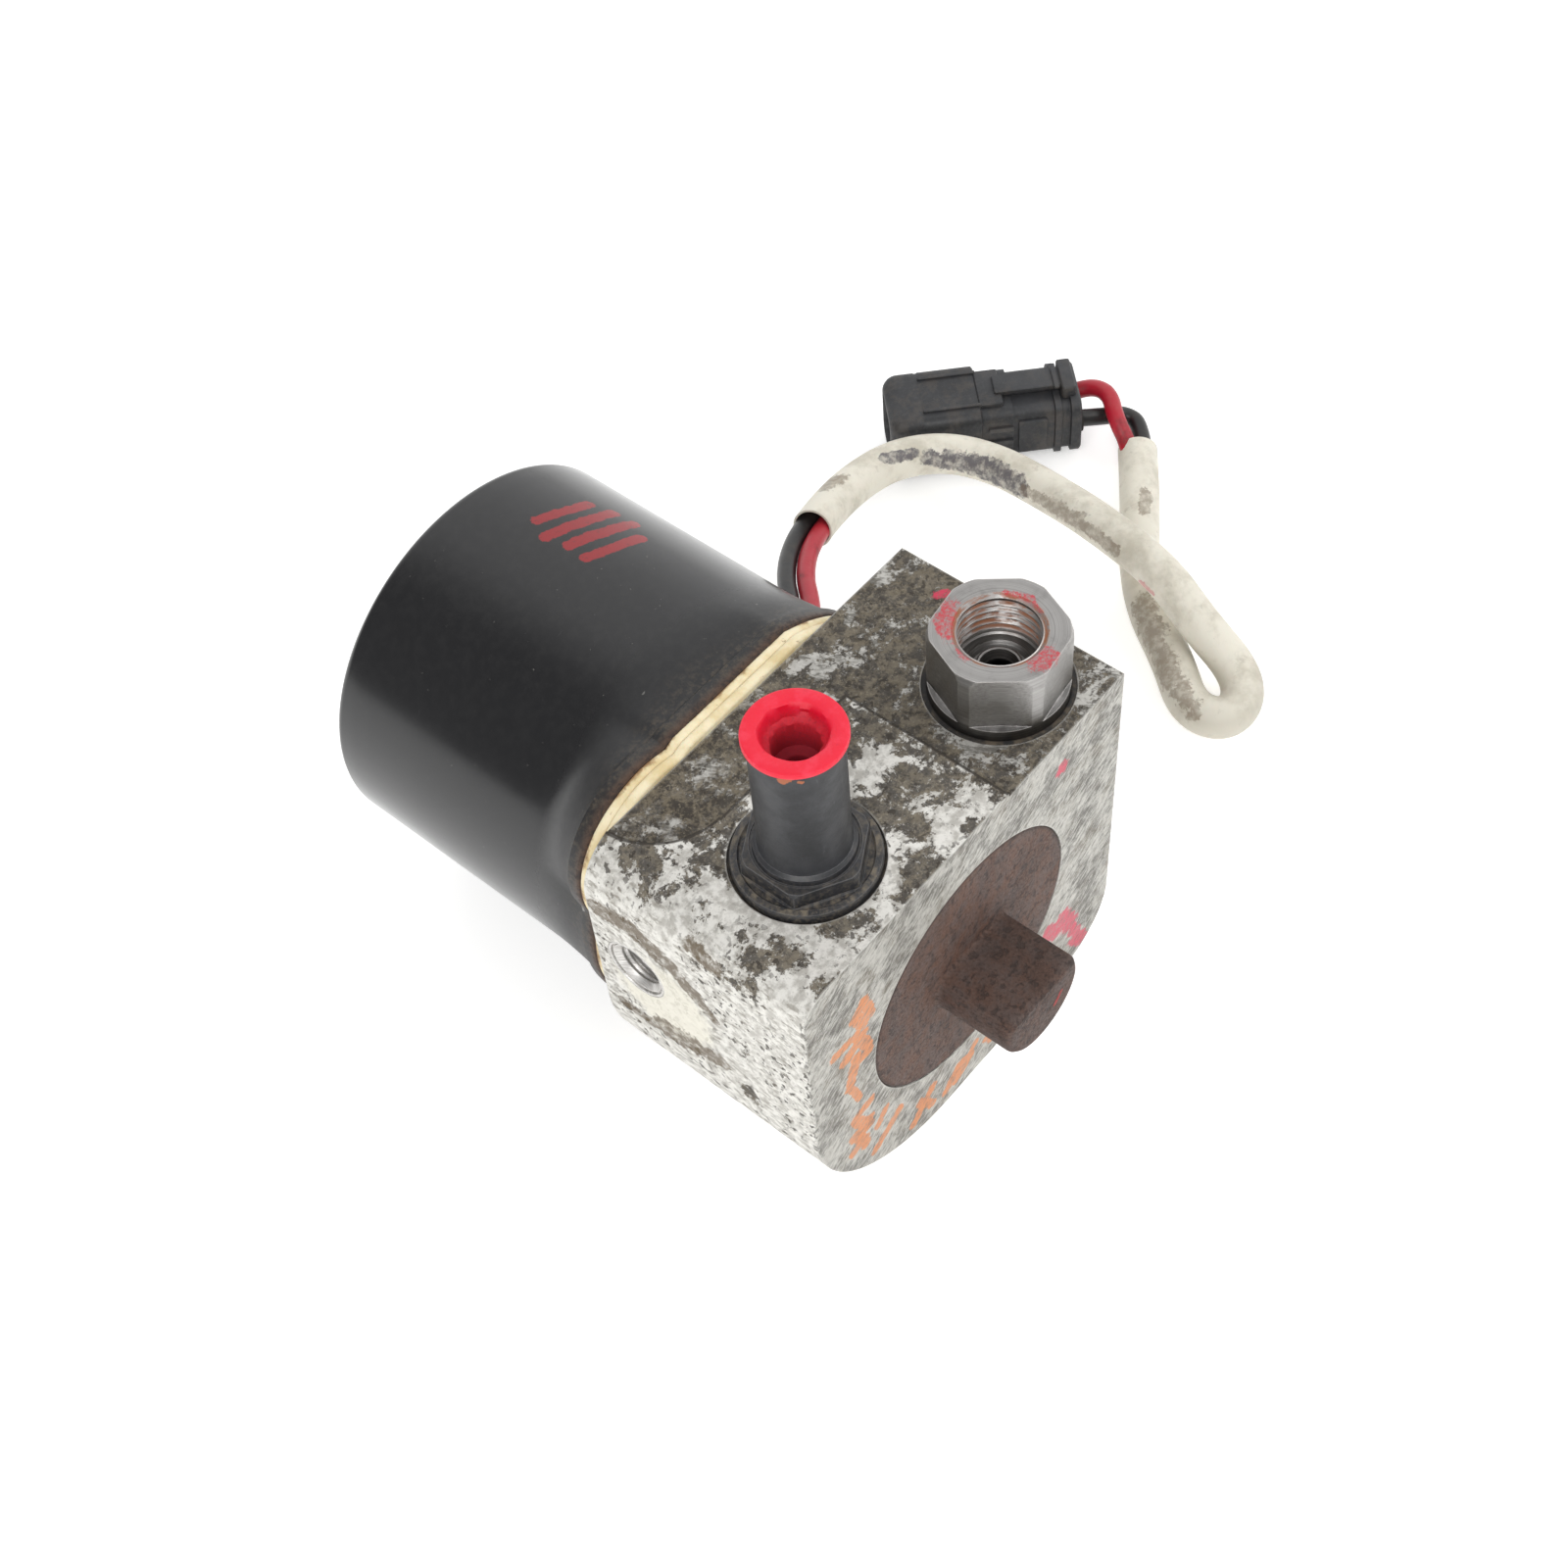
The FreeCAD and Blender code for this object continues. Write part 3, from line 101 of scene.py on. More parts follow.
# how many degrees the leads lie round each other at each point
pairTwist = [0] * 12 + [20, 50, 80, 90, 90, 90, 100, 115, 130, 150, 150]
redTail = [(147.8, 72.0, -30.8), (153.0, 77.6, -29.4), (152.6, 84.0, -31.2), (148.0, 86.7, -32.4)]
blackTail = [(154.0, 68.8, -35.8), (154.2, 74.0, -35.2), (148.6, 76.6, -33.4), (143.0, 81.5, -32.4)]


def besideRoute(side):
    spots = [Vector(point) for point in pairRoute]
    headings = [(after - before).normalized() for before, after in zip(spots, spots[1:])]
    rights = [heading.cross(Vector((0, 0, 1))).normalized() for heading in headings]
    moved = []
    for index, here in enumerate(spots):
        before = rights[max(index - 1, 0)]
        after = rights[min(index, len(rights) - 1)]
        middle = (before + after).normalized()
        up = middle.cross(headings[min(index, len(headings) - 1)])
        twist = math.radians(pairTwist[index])
        offset = middle * math.cos(twist) / middle.dot(before) + up * math.sin(twist)
        moved.append(tuple(here + offset * side * cordSetup["leadSpread"]))
    return moved


def routeCurve(name, points, radius=0.0):
    data = bpy.data.curves.new(name, "CURVE")
    data.dimensions = "3D"
    data.resolution_u = cordSetup["curveSteps"]
    spline = data.splines.new("NURBS")
    spline.points.add(len(points) - 1)
    for target, point in zip(spline.points, points):
        target.co = (*(Vector(point) * millimetre), 1)
        target.radius = radius * millimetre
    spline.order_u = 3
    spline.use_endpoint_u = True
    data.bevel_depth = 1.0 if radius else 0.0      # each point carries the real radius
    data.bevel_resolution = cordSetup["roundSteps"]
    data.use_fill_caps = radius > 0
    piece = bpy.data.objects.new(name, data)
    bpy.context.scene.collection.objects.link(piece)
    return piece


def splinePoints(points):
    guide = routeCurve("routeGuide", points)
    bpy.context.view_layer.update()
    line = bpy.data.meshes.new_from_object(guide)
    found = [vertex.co.copy() for vertex in line.vertices]
    bpy.data.objects.remove(guide)
    bpy.data.meshes.remove(line)
    return found


def finishMesh(name, build, body, replaced, sharpAngle=32):
    bmesh.ops.remove_doubles(build, verts=build.verts, dist=weldDistance)
    bmesh.ops.recalc_face_normals(build, faces=build.faces)
    for face in build.faces:
        face.smooth = True
    limit = math.radians(sharpAngle)
    for edge in build.edges:
        if len(edge.link_faces) == 2 and edge.calc_face_angle() > limit:
            edge.smooth = False
    mesh = bpy.data.meshes.new(name)
    build.to_mesh(mesh)
    build.free()
    piece = bpy.data.objects.new(name, mesh)
    bpy.context.scene.collection.objects.link(piece)
    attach(piece, body)
    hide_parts(*replaced)
    return piece


def placeRing(axis, centre, along, radius, angle):
    first = radius * math.cos(angle)
    second = radius * math.sin(angle)
    if axis == "X":
        spot = (along, centre[0] + first, centre[1] + second)
    elif axis == "Y":
        spot = (centre[0] + first, along, centre[1] + second)
    else:
        spot = (centre[0] + first, centre[1] + second, along)
    return Vector(spot)


def turned(build, rings, sides=96, axis="Z", centre=(0, 0), start=0.0, loop=False, lay=None):
    rows = []
    for along, radius in rings:
        row = []
        for step in range(sides):
            angle = math.radians(start) + 2 * math.pi * step / sides
            size = radius(angle) if callable(radius) else radius
            spot = placeRing(axis, centre, along, size, angle)
            spot = lay(spot) if lay else spot
            row.append(build.verts.new(spot * millimetre))
        rows.append(row)
    pairs = list(zip(rows, rows[1:]))
    if loop:
        pairs.append((rows[-1], rows[0]))
    for low, high in pairs:
        for step in range(sides):
            after = (step + 1) % sides
            build.faces.new((low[step], low[after], high[after], high[step]))
    if not loop:
        for row in (rows[0], rows[-1]):
            middle = Vector((0, 0, 0))
            for vertex in row:
                middle += vertex.co
            hub = build.verts.new(middle / sides)
            for step in range(sides):
                build.faces.new((hub, row[step], row[(step + 1) % sides]))


def hexRadius(flats, turnDegrees):
    def radius(angle):
        local = (angle - math.radians(turnDegrees)) % (math.pi / 3)
        return flats / 2 / math.cos(local - math.pi / 6)
    return radius


def boxRadius(halfWide, halfTall, corner):
    def radius(angle):
        c, s = abs(math.cos(angle)), abs(math.sin(angle))
        reach = min(halfWide / c if c > 1e-6 else 1e9, halfTall / s if s > 1e-6 else 1e9)
        cx, cz = halfWide - corner, halfTall - corner
        if reach * c > cx and reach * s > cz:
            dot = c * cx + s * cz
            reach = dot + math.sqrt(max(dot * dot - (cx * cx + cz * cz - corner * corner), 0))
        return reach
    return radius


def threadRings(start, end, minor, depth, pitch, step):
    rings = []
    count = int(round(abs(end - start) / step))
    for index in range(count + 1):
        along = start + (end - start) * index / count
        fade = min(1, abs(along - start) / pitch * 1.2, abs(end - along) / pitch * 1.6)

        def radius(angle, along=along, fade=fade):
            turn = (along / pitch - angle / (2 * math.pi)) % 1
            wave = min(max((1 - abs(2 * turn - 1)) * 1.35 - 0.12, 0), 1)
            return minor + depth * wave * fade
        rings.append((along, radius))
    return rings


def softBox(build, size, centre, round, turn):
    box = bmesh.new()
    bmesh.ops.create_cube(box, size=1)
    for vertex in box.verts:
        vertex.co = Vector(a * b for a, b in zip(vertex.co, size))
    bmesh.ops.bevel(box, geom=box.edges[:], offset=round, segments=3, affect="EDGES", profile=0.6)
    for vertex in box.verts:
        vertex.co = turn(vertex.co + Vector(centre)) * millimetre
    carrier = bpy.data.meshes.new("softBoxCarrier")
    box.to_mesh(carrier)
    box.free()
    build.from_mesh(carrier)
    bpy.data.meshes.remove(carrier)


# shader helpers and the groups that several finishes share

def tone(red, green, blue):
    shades = [value / 255 for value in (red, green, blue)]
    return tuple(v / 12.92 if v <= 0.04045 else ((v + 0.055) / 1.055) ** 2.4 for v in shades) + (1,)


def addNode(tree, kind, values=None, **settings):
    node = tree.nodes.new("ShaderNode" + kind)
    for key, value in settings.items():
        setattr(node, key, value)
    for key, value in (values or {}).items():
        socket = node.inputs[key]
        if isinstance(value, bpy.types.NodeSocket):
            tree.links.new(value, socket)
        else:
            socket.default_value = value
    return node


def calc(tree, operation, *values):
    return addNode(tree, "Math", dict(enumerate(values)), operation=operation).outputs[0]


def times(tree, first, second):
    return calc(tree, "MULTIPLY", first, second)


def plus(tree, first, second):
    return calc(tree, "ADD", first, second)


def axes(tree, vector):
    return addNode(tree, "SeparateXYZ", {0: vector}).outputs


def calcVector(tree, operation, *values, output="Vector"):
    node = addNode(tree, "VectorMath", dict(enumerate(values)), operation=operation)
    return node.outputs[output]


def ramp(tree, value, low, high, toLow=0.0, toHigh=1.0):
    node = addNode(tree, "MapRange", {"Value": value, "From Min": low, "From Max": high,
                                      "To Min": toLow, "To Max": toHigh}, interpolation_type="SMOOTHSTEP")
    return node.outputs[0]


def over(tree, mask, under, top, amount=None):
    if amount is not None:
        mask = times(tree, mask, amount)
    node = addNode(tree, "Mix", {0: mask, 6: under, 7: top}, data_type="RGBA")
    return node.outputs[2]


def blendValue(tree, mask, under, top):
    return addNode(tree, "Mix", {0: mask, 2: under, 3: top}, data_type="FLOAT").outputs[0]


def noiseValue(tree, vector, scale, detail=4.0, roughness=0.6, distortion=0.0):
    node = addNode(tree, "TexNoise", {"Vector": vector, "Scale": scale, "Detail": detail,
                                      "Roughness": roughness, "Distortion": distortion})
    return node.outputs["Fac"]


def startGroup(name, inputs, outputs):
    group = bpy.data.node_groups.new(name, "ShaderNodeTree")
    for label, kind, value in inputs:
        socket = group.interface.new_socket(name=label, in_out="INPUT", socket_type="NodeSocket" + kind)
        socket.default_value = value
    for label, kind in outputs:
        group.interface.new_socket(name=label, in_out="OUTPUT", socket_type="NodeSocket" + kind)
    entry = group.nodes.new("NodeGroupInput")
    leave = group.nodes.new("NodeGroupOutput")
    return group, entry.outputs, leave.inputs


def makeMottle():
    group, given, result = startGroup("mottle", [
        ("Vector", "Vector", (0, 0, 0)), ("Stretch", "Vector", (1, 1, 1)), ("Seed", "Vector", (0, 0, 0)),
        ("Scale", "Float", 0.1), ("Level", "Float", 0.5), ("Softness", "Float", 0.03),
        ("Raggedness", "Float", 0.6)], [("Mask", "Float")])
    stretched = calcVector(group, "MULTIPLY", given["Vector"], given["Stretch"])
    shifted = calcVector(group, "ADD", stretched, given["Seed"])
    cloud = noiseValue(group, shifted, given["Scale"], 9.0, given["Raggedness"], 0.15)
    low = calc(group, "SUBTRACT", given["Level"], given["Softness"])
    high = plus(group, given["Level"], given["Softness"])
    group.links.new(ramp(group, cloud, low, high), result["Mask"])
    return group


def makeBrushStroke():
    group, given, result = startGroup("brushStroke", [
        ("Vector", "Vector", (0, 0, 0)), ("From", "Vector", (0, 0, 0)), ("To", "Vector", (1, 0, 0)),
        ("Width", "Float", 1.0), ("Ragged", "Float", 0.4)], [("Mask", "Float")])
    run = calcVector(group, "SUBTRACT", given["To"], given["From"])
    away = calcVector(group, "SUBTRACT", given["Vector"], given["From"])
    along = calcVector(group, "DOT_PRODUCT", away, run, output="Value")
    square = calcVector(group, "DOT_PRODUCT", run, run, output="Value")
    share = addNode(group, "Clamp", {0: calc(group, "DIVIDE", along, square)}).outputs[0]
    scaled = addNode(group, "VectorMath", {0: run, "Scale": share}, operation="SCALE").outputs[0]
    gap = calcVector(group, "LENGTH", calcVector(group, "SUBTRACT", away, scaled), output="Value")
    rough = noiseValue(group, given["Vector"], 0.55, 5.0, 0.7)
    swing = times(group, calc(group, "SUBTRACT", rough, 0.5), given["Ragged"])
    edge = plus(group, calc(group, "DIVIDE", gap, given["Width"]), times(group, swing, 4.0))
    group.links.new(ramp(group, edge, 1.12, 0.88), result["Mask"])
    return group


def makeEdgeWear():
    group, given, result = startGroup("edgeWear", [
        ("Vector", "Vector", (0, 0, 0)), ("Width", "Float", 0.0006), ("Amount", "Float", 0.5)],
        [("Mask", "Float"), ("Normal", "Vector")])
    rounded = addNode(group, "Bevel", {"Radius": given["Width"]}, samples=6)
    plain = addNode(group, "NewGeometry")
    match = calcVector(group, "DOT_PRODUCT", rounded.outputs[0], plain.outputs["Normal"], output="Value")
    bend = calc(group, "SUBTRACT", 1.0, match)
    broken = times(group, bend, noiseValue(group, given["Vector"], 0.6, 5.0, 0.7))
    group.links.new(times(group, ramp(group, broken, 0.012, 0.07), given["Amount"]), result["Mask"])
    group.links.new(rounded.outputs[0], result["Normal"])
    return group


def makeDust():
    group, given, result = startGroup("settledDust", [
        ("Vector", "Vector", (0, 0, 0)), ("Amount", "Float", 0.5), ("Scale", "Float", 0.3)],
        [("Mask", "Float")])
    facing = axes(group, addNode(group, "NewGeometry").outputs["Normal"])
    upward = ramp(group, facing["Z"], 0.1, 1.0)
    cloud = ramp(group, noiseValue(group, given["Vector"], given["Scale"], 8.0, 0.68), 0.42, 0.66)
    group.links.new(times(group, times(group, upward, cloud), given["Amount"]), result["Mask"])
    return group


groups = {"mottle": makeMottle(), "brushStroke": makeBrushStroke(), "edgeWear": makeEdgeWear(),
          "settledDust": makeDust()}


def useGroup(tree, name, output="Mask", **values):
    node = addNode(tree, "Group", node_tree=groups[name])
    for key, value in values.items():
        socket = node.inputs[key]
        if isinstance(value, bpy.types.NodeSocket):
            tree.links.new(value, socket)
        else:
            socket.default_value = value
    return node.outputs[output]


def beginFinish(name, **constants):
    material = bpy.data.materials.new(name)
    material.use_nodes = True
    tree = material.node_tree
    shader = tree.nodes["Principled BSDF"]
    for key, value in constants.items():
        shader.inputs[key.replace("_", " ")].default_value = value
    place = addNode(tree, "TexCoord").outputs["Object"]
    spot = addNode(tree, "VectorMath", {0: place, "Scale": 1 / millimetre}, operation="SCALE").outputs[0]
    return material, tree, shader, spot


def wire(tree, shader, colour=None, roughness=None, metallic=None, height=None, bumpDistance=0.0001,
         normal=None, bumpStrength=1.0, coat=None):
    for socket, value in (("Base Color", colour), ("Roughness", roughness), ("Metallic", metallic),
                          ("Coat Weight", coat)):
        if isinstance(value, bpy.types.NodeSocket):
            tree.links.new(value, shader.inputs[socket])
        elif value is not None:
            shader.inputs[socket].default_value = value
    if height is not None:
        bump = addNode(tree, "Bump", {"Height": height, "Distance": bumpDistance, "Strength": bumpStrength})
        if normal is not None:
            tree.links.new(normal, bump.inputs["Normal"])
        normal = bump.outputs[0]
    if normal is not None:
        tree.links.new(normal, shader.inputs["Normal"])


def wornEdges(tree, spot, colour, top, width, amount):
    edge = useGroup(tree, "edgeWear", Vector=spot, Width=width, Amount=amount)
    return over(tree, edge, colour, top)


def strokes(tree, spot, marks, width, ragged=0.4):
    masks = [useGroup(tree, "brushStroke", Vector=spot, From=first, To=last, Width=size * width,
                      Ragged=ragged) for first, last, size in marks]
    total = masks[0]
    for mask in masks[1:]:
        total = calc(tree, "MAXIMUM", total, mask)
    return total


# the cast and machined block: bright alloy under brown and black corrosion
castSettings = {
    "bare": tone(226, 224, 218),
    "bareShade": tone(182, 179, 172),
    "machinedTint": tone(160, 158, 153),
    "olive": tone(106, 97, 81),
    "dark": tone(54, 48, 41),
    "crumb": tone(150, 140, 120),
    "sawLight": tone(192, 190, 183),
    "sawDark": tone(88, 85, 78),
    "orangeInk": tone(212, 132, 72),
    "pinkInk": tone(204, 60, 88),
    "stain": tone(100, 86, 66),
    "machinedTop": 36.9,      # the machined step lies below this height
    "padEdge": (10.0, 34.0),      # its straight sides, across and along
    "pocketCentre": (-22.0, 47.3, 0.0),      # the round pocket beside the gasket
    "pocketRadius": 13.0,
    "cleanSpot": (-42.2, 32.5, 8.5),      # rubbed clean round the side insert
    "cleanTint": tone(226, 222, 208),
}
orangeDabs = [((a, 0, b), (c, 0, d), size) for a, b, c, d, size in (
    (-28.3, 23.0, -30.5, 20.5, 1.0), (-30.5, 20.5, -28.4, 16.2, 1.1), (-28.4, 16.2, -26.4, 17.0, 0.8),
    (-26.6, 17.2, -28.0, 22.4, 0.9), (-30.8, 15.4, -36.1, 15.5, 0.9), (-29.0, 13.4, -33.6, 11.0, 1.2),
    (-30.6, 15.0, -27.8, 8.4, 1.1), (-27.7, 6.6, -31.4, 6.8, 1.0), (-31.0, 8.6, -33.0, 1.6, 1.1),
    (-33.0, 1.6, -30.9, -5.2, 0.7), (-28.2, -9.8, -32.5, -10.7, 1.0), (-32.5, -10.7, -29.0, -17.6, 1.1),
    (-29.0, -15.6, -32.9, -16.5, 1.2), (-32.4, -16.5, -30.2, -22.8, 1.1),
    (-30.2, -20.8, -33.6, -21.2, 1.0), (-20.9, -23.8, -27.8, -28.8, 1.0),
    (-24.6, -18.2, -26.6, -21.2, 0.9), (-11.4, -29.2, -17.2, -35.2, 1.0),
    (-15.2, -29.8, -11.6, -35.4, 0.9), (-3.0, -32.4, -7.3, -36.2, 1.2), (-0.2, -33.4, -4.5, -36.6, 1.1),
    (1.3, -30.7, -1.6, -33.8, 0.8), (4.6, -33.6, 6.2, -36.0, 0.8),
)]
pinkDabs = [
    ((27.6, 0, -21.2), (30.4, 0, -26.2), 1.5), ((23.2, 0, -20.4), (25.6, 0, -24.0), 1.2),
    ((32.4, 0, -33.6), (34.6, 0, -36.4), 1.2), ((24.8, 0, 28.0), (25.2, 0, 28.7), 0.9),
    ((37.0, 35.5, 36.5), (38.6, 34.6, 36.5), 0.6), ((31.2, 0, -29.4), (32.6, 0, -31.4), 1.0),
]
stainDabs = [((-42.2, a, b), (-42.2, c, d), size) for a, b, c, d, size in (
    (45.4, 24.8, 38.4, 26.0, 1.2), (38.4, 26.0, 33.9, 24.4, 1.35), (33.9, 24.4, 28.8, 22.0, 1.35),
    (28.8, 22.0, 24.1, 18.0, 1.1), (24.1, 18.0, 20.8, 14.4, 0.7), (43.3, -3.0, 38.2, -3.6, 0.7),
    (38.2, -3.6, 32.9, -2.2, 0.8), (33.4, -2.0, 27.0, -0.6, 1.5), (27.0, -0.6, 20.8, 0.4, 1.1),
    (24.4, 33.4, 19.0, 31.6, 1.0),
)]


def castAlloy():
    s = castSettings
    material, tree, shader, spot = beginFinish("castAlloyWeathered", Specular_IOR_Level=0.5)
    place = axes(tree, spot)
    facing = axes(tree, addNode(tree, "TexCoord").outputs["Normal"])
    front = ramp(tree, facing["Y"], -0.55, -0.85)
    left = ramp(tree, facing["X"], -0.4, -0.85)
    below = calc(tree, "LESS_THAN", place["Z"], s["machinedTop"])
    machined = times(tree, ramp(tree, facing["Z"], 0.985, 0.998), below)
    toRight = ramp(tree, place["X"], -38, 26)

    # broad blotches, thicker towards the machined side
    level = calc(tree, "SUBTRACT", 0.520, times(tree, toRight, 0.03))
    level = calc(tree, "SUBTRACT", level, times(tree, machined, 0.045))
    level = plus(tree, level, times(tree, left, 0.09))
    level = plus(tree, level, times(tree, front, 0.3))
    nibble = noiseValue(tree, spot, 1.5, 5.0, 0.75)
    level = plus(tree, level, times(tree, calc(tree, "SUBTRACT", nibble, 0.5), 0.14))
    blotch = useGroup(tree, "mottle", Vector=spot, Scale=0.115, Level=level, Softness=0.014, Raggedness=0.74)
    broken = useGroup(tree, "mottle", Vector=spot, Scale=0.9, Seed=(31, 7, 3), Level=0.37, Softness=0.08,
                      Raggedness=0.7)
    blotch = times(tree, blotch, ramp(tree, broken, -0.2, 0.9))
    speck = useGroup(tree, "mottle", Vector=spot, Scale=0.75, Seed=(5, 60, 9), Level=0.60, Softness=0.02,
                     Raggedness=0.5)
    crowd = ramp(tree, noiseValue(tree, spot, 0.06, 3.0), 0.36, 0.56)
    speck = times(tree, speck, times(tree, crowd, calc(tree, "SUBTRACT", 1.0, front)))

    shade = noiseValue(tree, spot, 0.5, 6.0, 0.65)
    bare = over(tree, ramp(tree, shade, 0.40, 0.64), s["bare"], s["bareShade"])
    bare = over(tree, ramp(tree, nibble, 0.56, 0.72, 0.0, 0.55), bare, s["olive"])
    bare = over(tree, machined, bare, s["machinedTint"], 0.6)
    swept = addNode(tree, "VectorRotate", {"Vector": spot, "Axis": (0, 0, 1), "Angle": math.radians(-32)},
                    rotation_type="AXIS_ANGLE").outputs[0]
    scored = noiseValue(tree, calcVector(tree, "MULTIPLY", swept, (1.2, 0.34, 1.0)), 0.7, 7.0, 0.72, 0.3)
    bare = over(tree, machined, bare, s["sawDark"], ramp(tree, scored, 0.47, 0.60, 0.0, 0.8))
    crust = over(tree, ramp(tree, noiseValue(tree, spot, 0.45, 9.0, 0.78), 0.43, 0.56), s["olive"], s["dark"])
    crumbs = noiseValue(tree, calcVector(tree, "ADD", spot, (17, 4, 9)), 2.1, 5.0, 0.75)
    crust = over(tree, ramp(tree, crumbs, 0.55, 0.66, 0.0, 0.65), crust, s["crumb"])
    crust = over(tree, ramp(tree, crumbs, 0.45, 0.34, 0.0, 0.6), crust, s["dark"])
    colour = over(tree, blotch, bare, crust, 0.93)
    colour = over(tree, speck, colour, s["dark"], 0.85)
    # painted shadow darkens a thin line along the machined step; grime settles in the round pocket by the
    # gasket
    behind = calc(tree, "MINIMUM", calc(tree, "SUBTRACT", place["Y"], s["padEdge"][1]),
                  calc(tree, "SUBTRACT", place["X"], s["pocketCentre"][0]))
    past = calc(tree, "MAXIMUM", calc(tree, "SUBTRACT", place["X"], s["padEdge"][0]), behind)
    flat = calcVector(tree, "MULTIPLY", spot, (1, 1, 0))
    fromPocket = calcVector(tree, "DISTANCE", flat, s["pocketCentre"], output="Value")
    within = calc(tree, "SUBTRACT", s["pocketRadius"], fromPocket)
    step = calc(tree, "ABSOLUTE", calc(tree, "MAXIMUM", past, within))
    high = ramp(tree, place["Z"], 36.2, 36.45)
    # wall: the thin painted shadow along the step's edge
    wall = times(tree, ramp(tree, step, 0.62, 0.3), high)
    plain = times(tree, ramp(tree, step, 2.4, 1.5), high)
    colour = over(tree, wall, colour, s["dark"], 0.9)
    pocket = times(tree, machined, ramp(tree, place["Y"], 31, 38))
    pocket = times(tree, pocket, ramp(tree, place["X"], 6, -6))
    dusted = ramp(tree, noiseValue(tree, spot, 0.22, 8.0, 0.74), 0.42, 0.54, 0.1, 0.9)
    colour = over(tree, pocket, colour, crust, dusted)

    # saw marks cross the front face at a slant
    turnedSpot = addNode(tree, "VectorRotate", {"Vector": spot, "Axis": (0, 1, 0), "Angle": math.radians(36)},
                         rotation_type="AXIS_ANGLE").outputs[0]
    slanted = calcVector(tree, "MULTIPLY", turnedSpot, (0.36, 1.0, 1.35))
    marks = noiseValue(tree, slanted, 1.05, 9.0, 0.8, 0.25)
    patch = ramp(tree, noiseValue(tree, spot, 0.10, 6.0, 0.65), 0.40, 0.62, -0.05, 0.05)
    saw = over(tree, ramp(tree, plus(tree, marks, patch), 0.40, 0.62), s["sawLight"], s["sawDark"])
    grime = ramp(tree, noiseValue(tree, spot, 0.16, 6.0, 0.65), 0.48, 0.66)
    saw = over(tree, grime, saw, s["olive"], ramp(tree, marks, 0.38, 0.58, 0.1, 0.7))
    colour = over(tree, front, colour, saw)

    # the left side: fine slanting flecks
    fleck = useGroup(tree, "mottle", Vector=spot, Stretch=(1.0, 0.5, 1.5), Seed=(2, 9, 40), Scale=0.8,
                     Level=0.58, Softness=0.05, Raggedness=0.6)
    colour = over(tree, times(tree, fleck, left), colour, s["olive"], 0.55)
    away = calcVector(tree, "DISTANCE", spot, s["cleanSpot"], output="Value")
    clean = times(tree, ramp(tree, plus(tree, away, times(tree, shade, 6.0)), 15.5, 11.5), left)
    colour = over(tree, clean, colour, s["cleanTint"], 0.85)
    seep = ramp(tree, noiseValue(tree, spot, 0.6, 8.0, 0.76), 0.36, 0.54, 0.3, 1.0)
    stain = times(tree, strokes(tree, spot, stainDabs, 1.9, 0.5), seep)
    colour = over(tree, stain, colour, s["stain"], 0.92)

    # crayon dabs catch only the high saw marks
    held = ramp(tree, marks, 0.60, 0.46, 0.3, 0.95)
    colour = over(tree, strokes(tree, spot, orangeDabs, 1.25, 0.45), colour, s["orangeInk"], held)
    colour = over(tree, strokes(tree, spot, pinkDabs, 1.6, 0.7), colour, s["pinkInk"], held)
    edge = useGroup(tree, "edgeWear", Vector=spot, Width=0.0007, Amount=0.5)
    edge = times(tree, edge, calc(tree, "SUBTRACT", 1.0, plain))
    colour = over(tree, edge, colour, s["bare"])
    # dark chips along the upright edge between the left side and the front
    corner = times(tree, ramp(tree, place["X"], -40.6, -41.6), ramp(tree, place["Y"], 1.3, 0.5))
    upright = calcVector(tree, "MULTIPLY", spot, (1, 1, 0.7))
    chips = ramp(tree, noiseValue(tree, upright, 1.1, 4.0, 0.7), 0.52, 0.58)
    colour = over(tree, corner, colour, s["sawDark"], times(tree, chips, 0.8))

    dirty = calc(tree, "MAXIMUM", blotch, speck)
    metal = blendValue(tree, dirty, 0.35, 0.0)
    rough = blendValue(tree, dirty, 0.45, 0.85)
    lift = plus(tree, times(tree, nibble, 0.6),
                times(tree, dirty, 0.35))
    lift = plus(tree, lift, times(tree, marks, times(tree, front, 0.8)))
    rounded = useGroup(tree, "edgeWear", "Normal", Vector=spot, Width=0.0004)
    wire(tree, shader, colour, rough, metal, lift, 0.00022, rounded, 0.75)
    return material


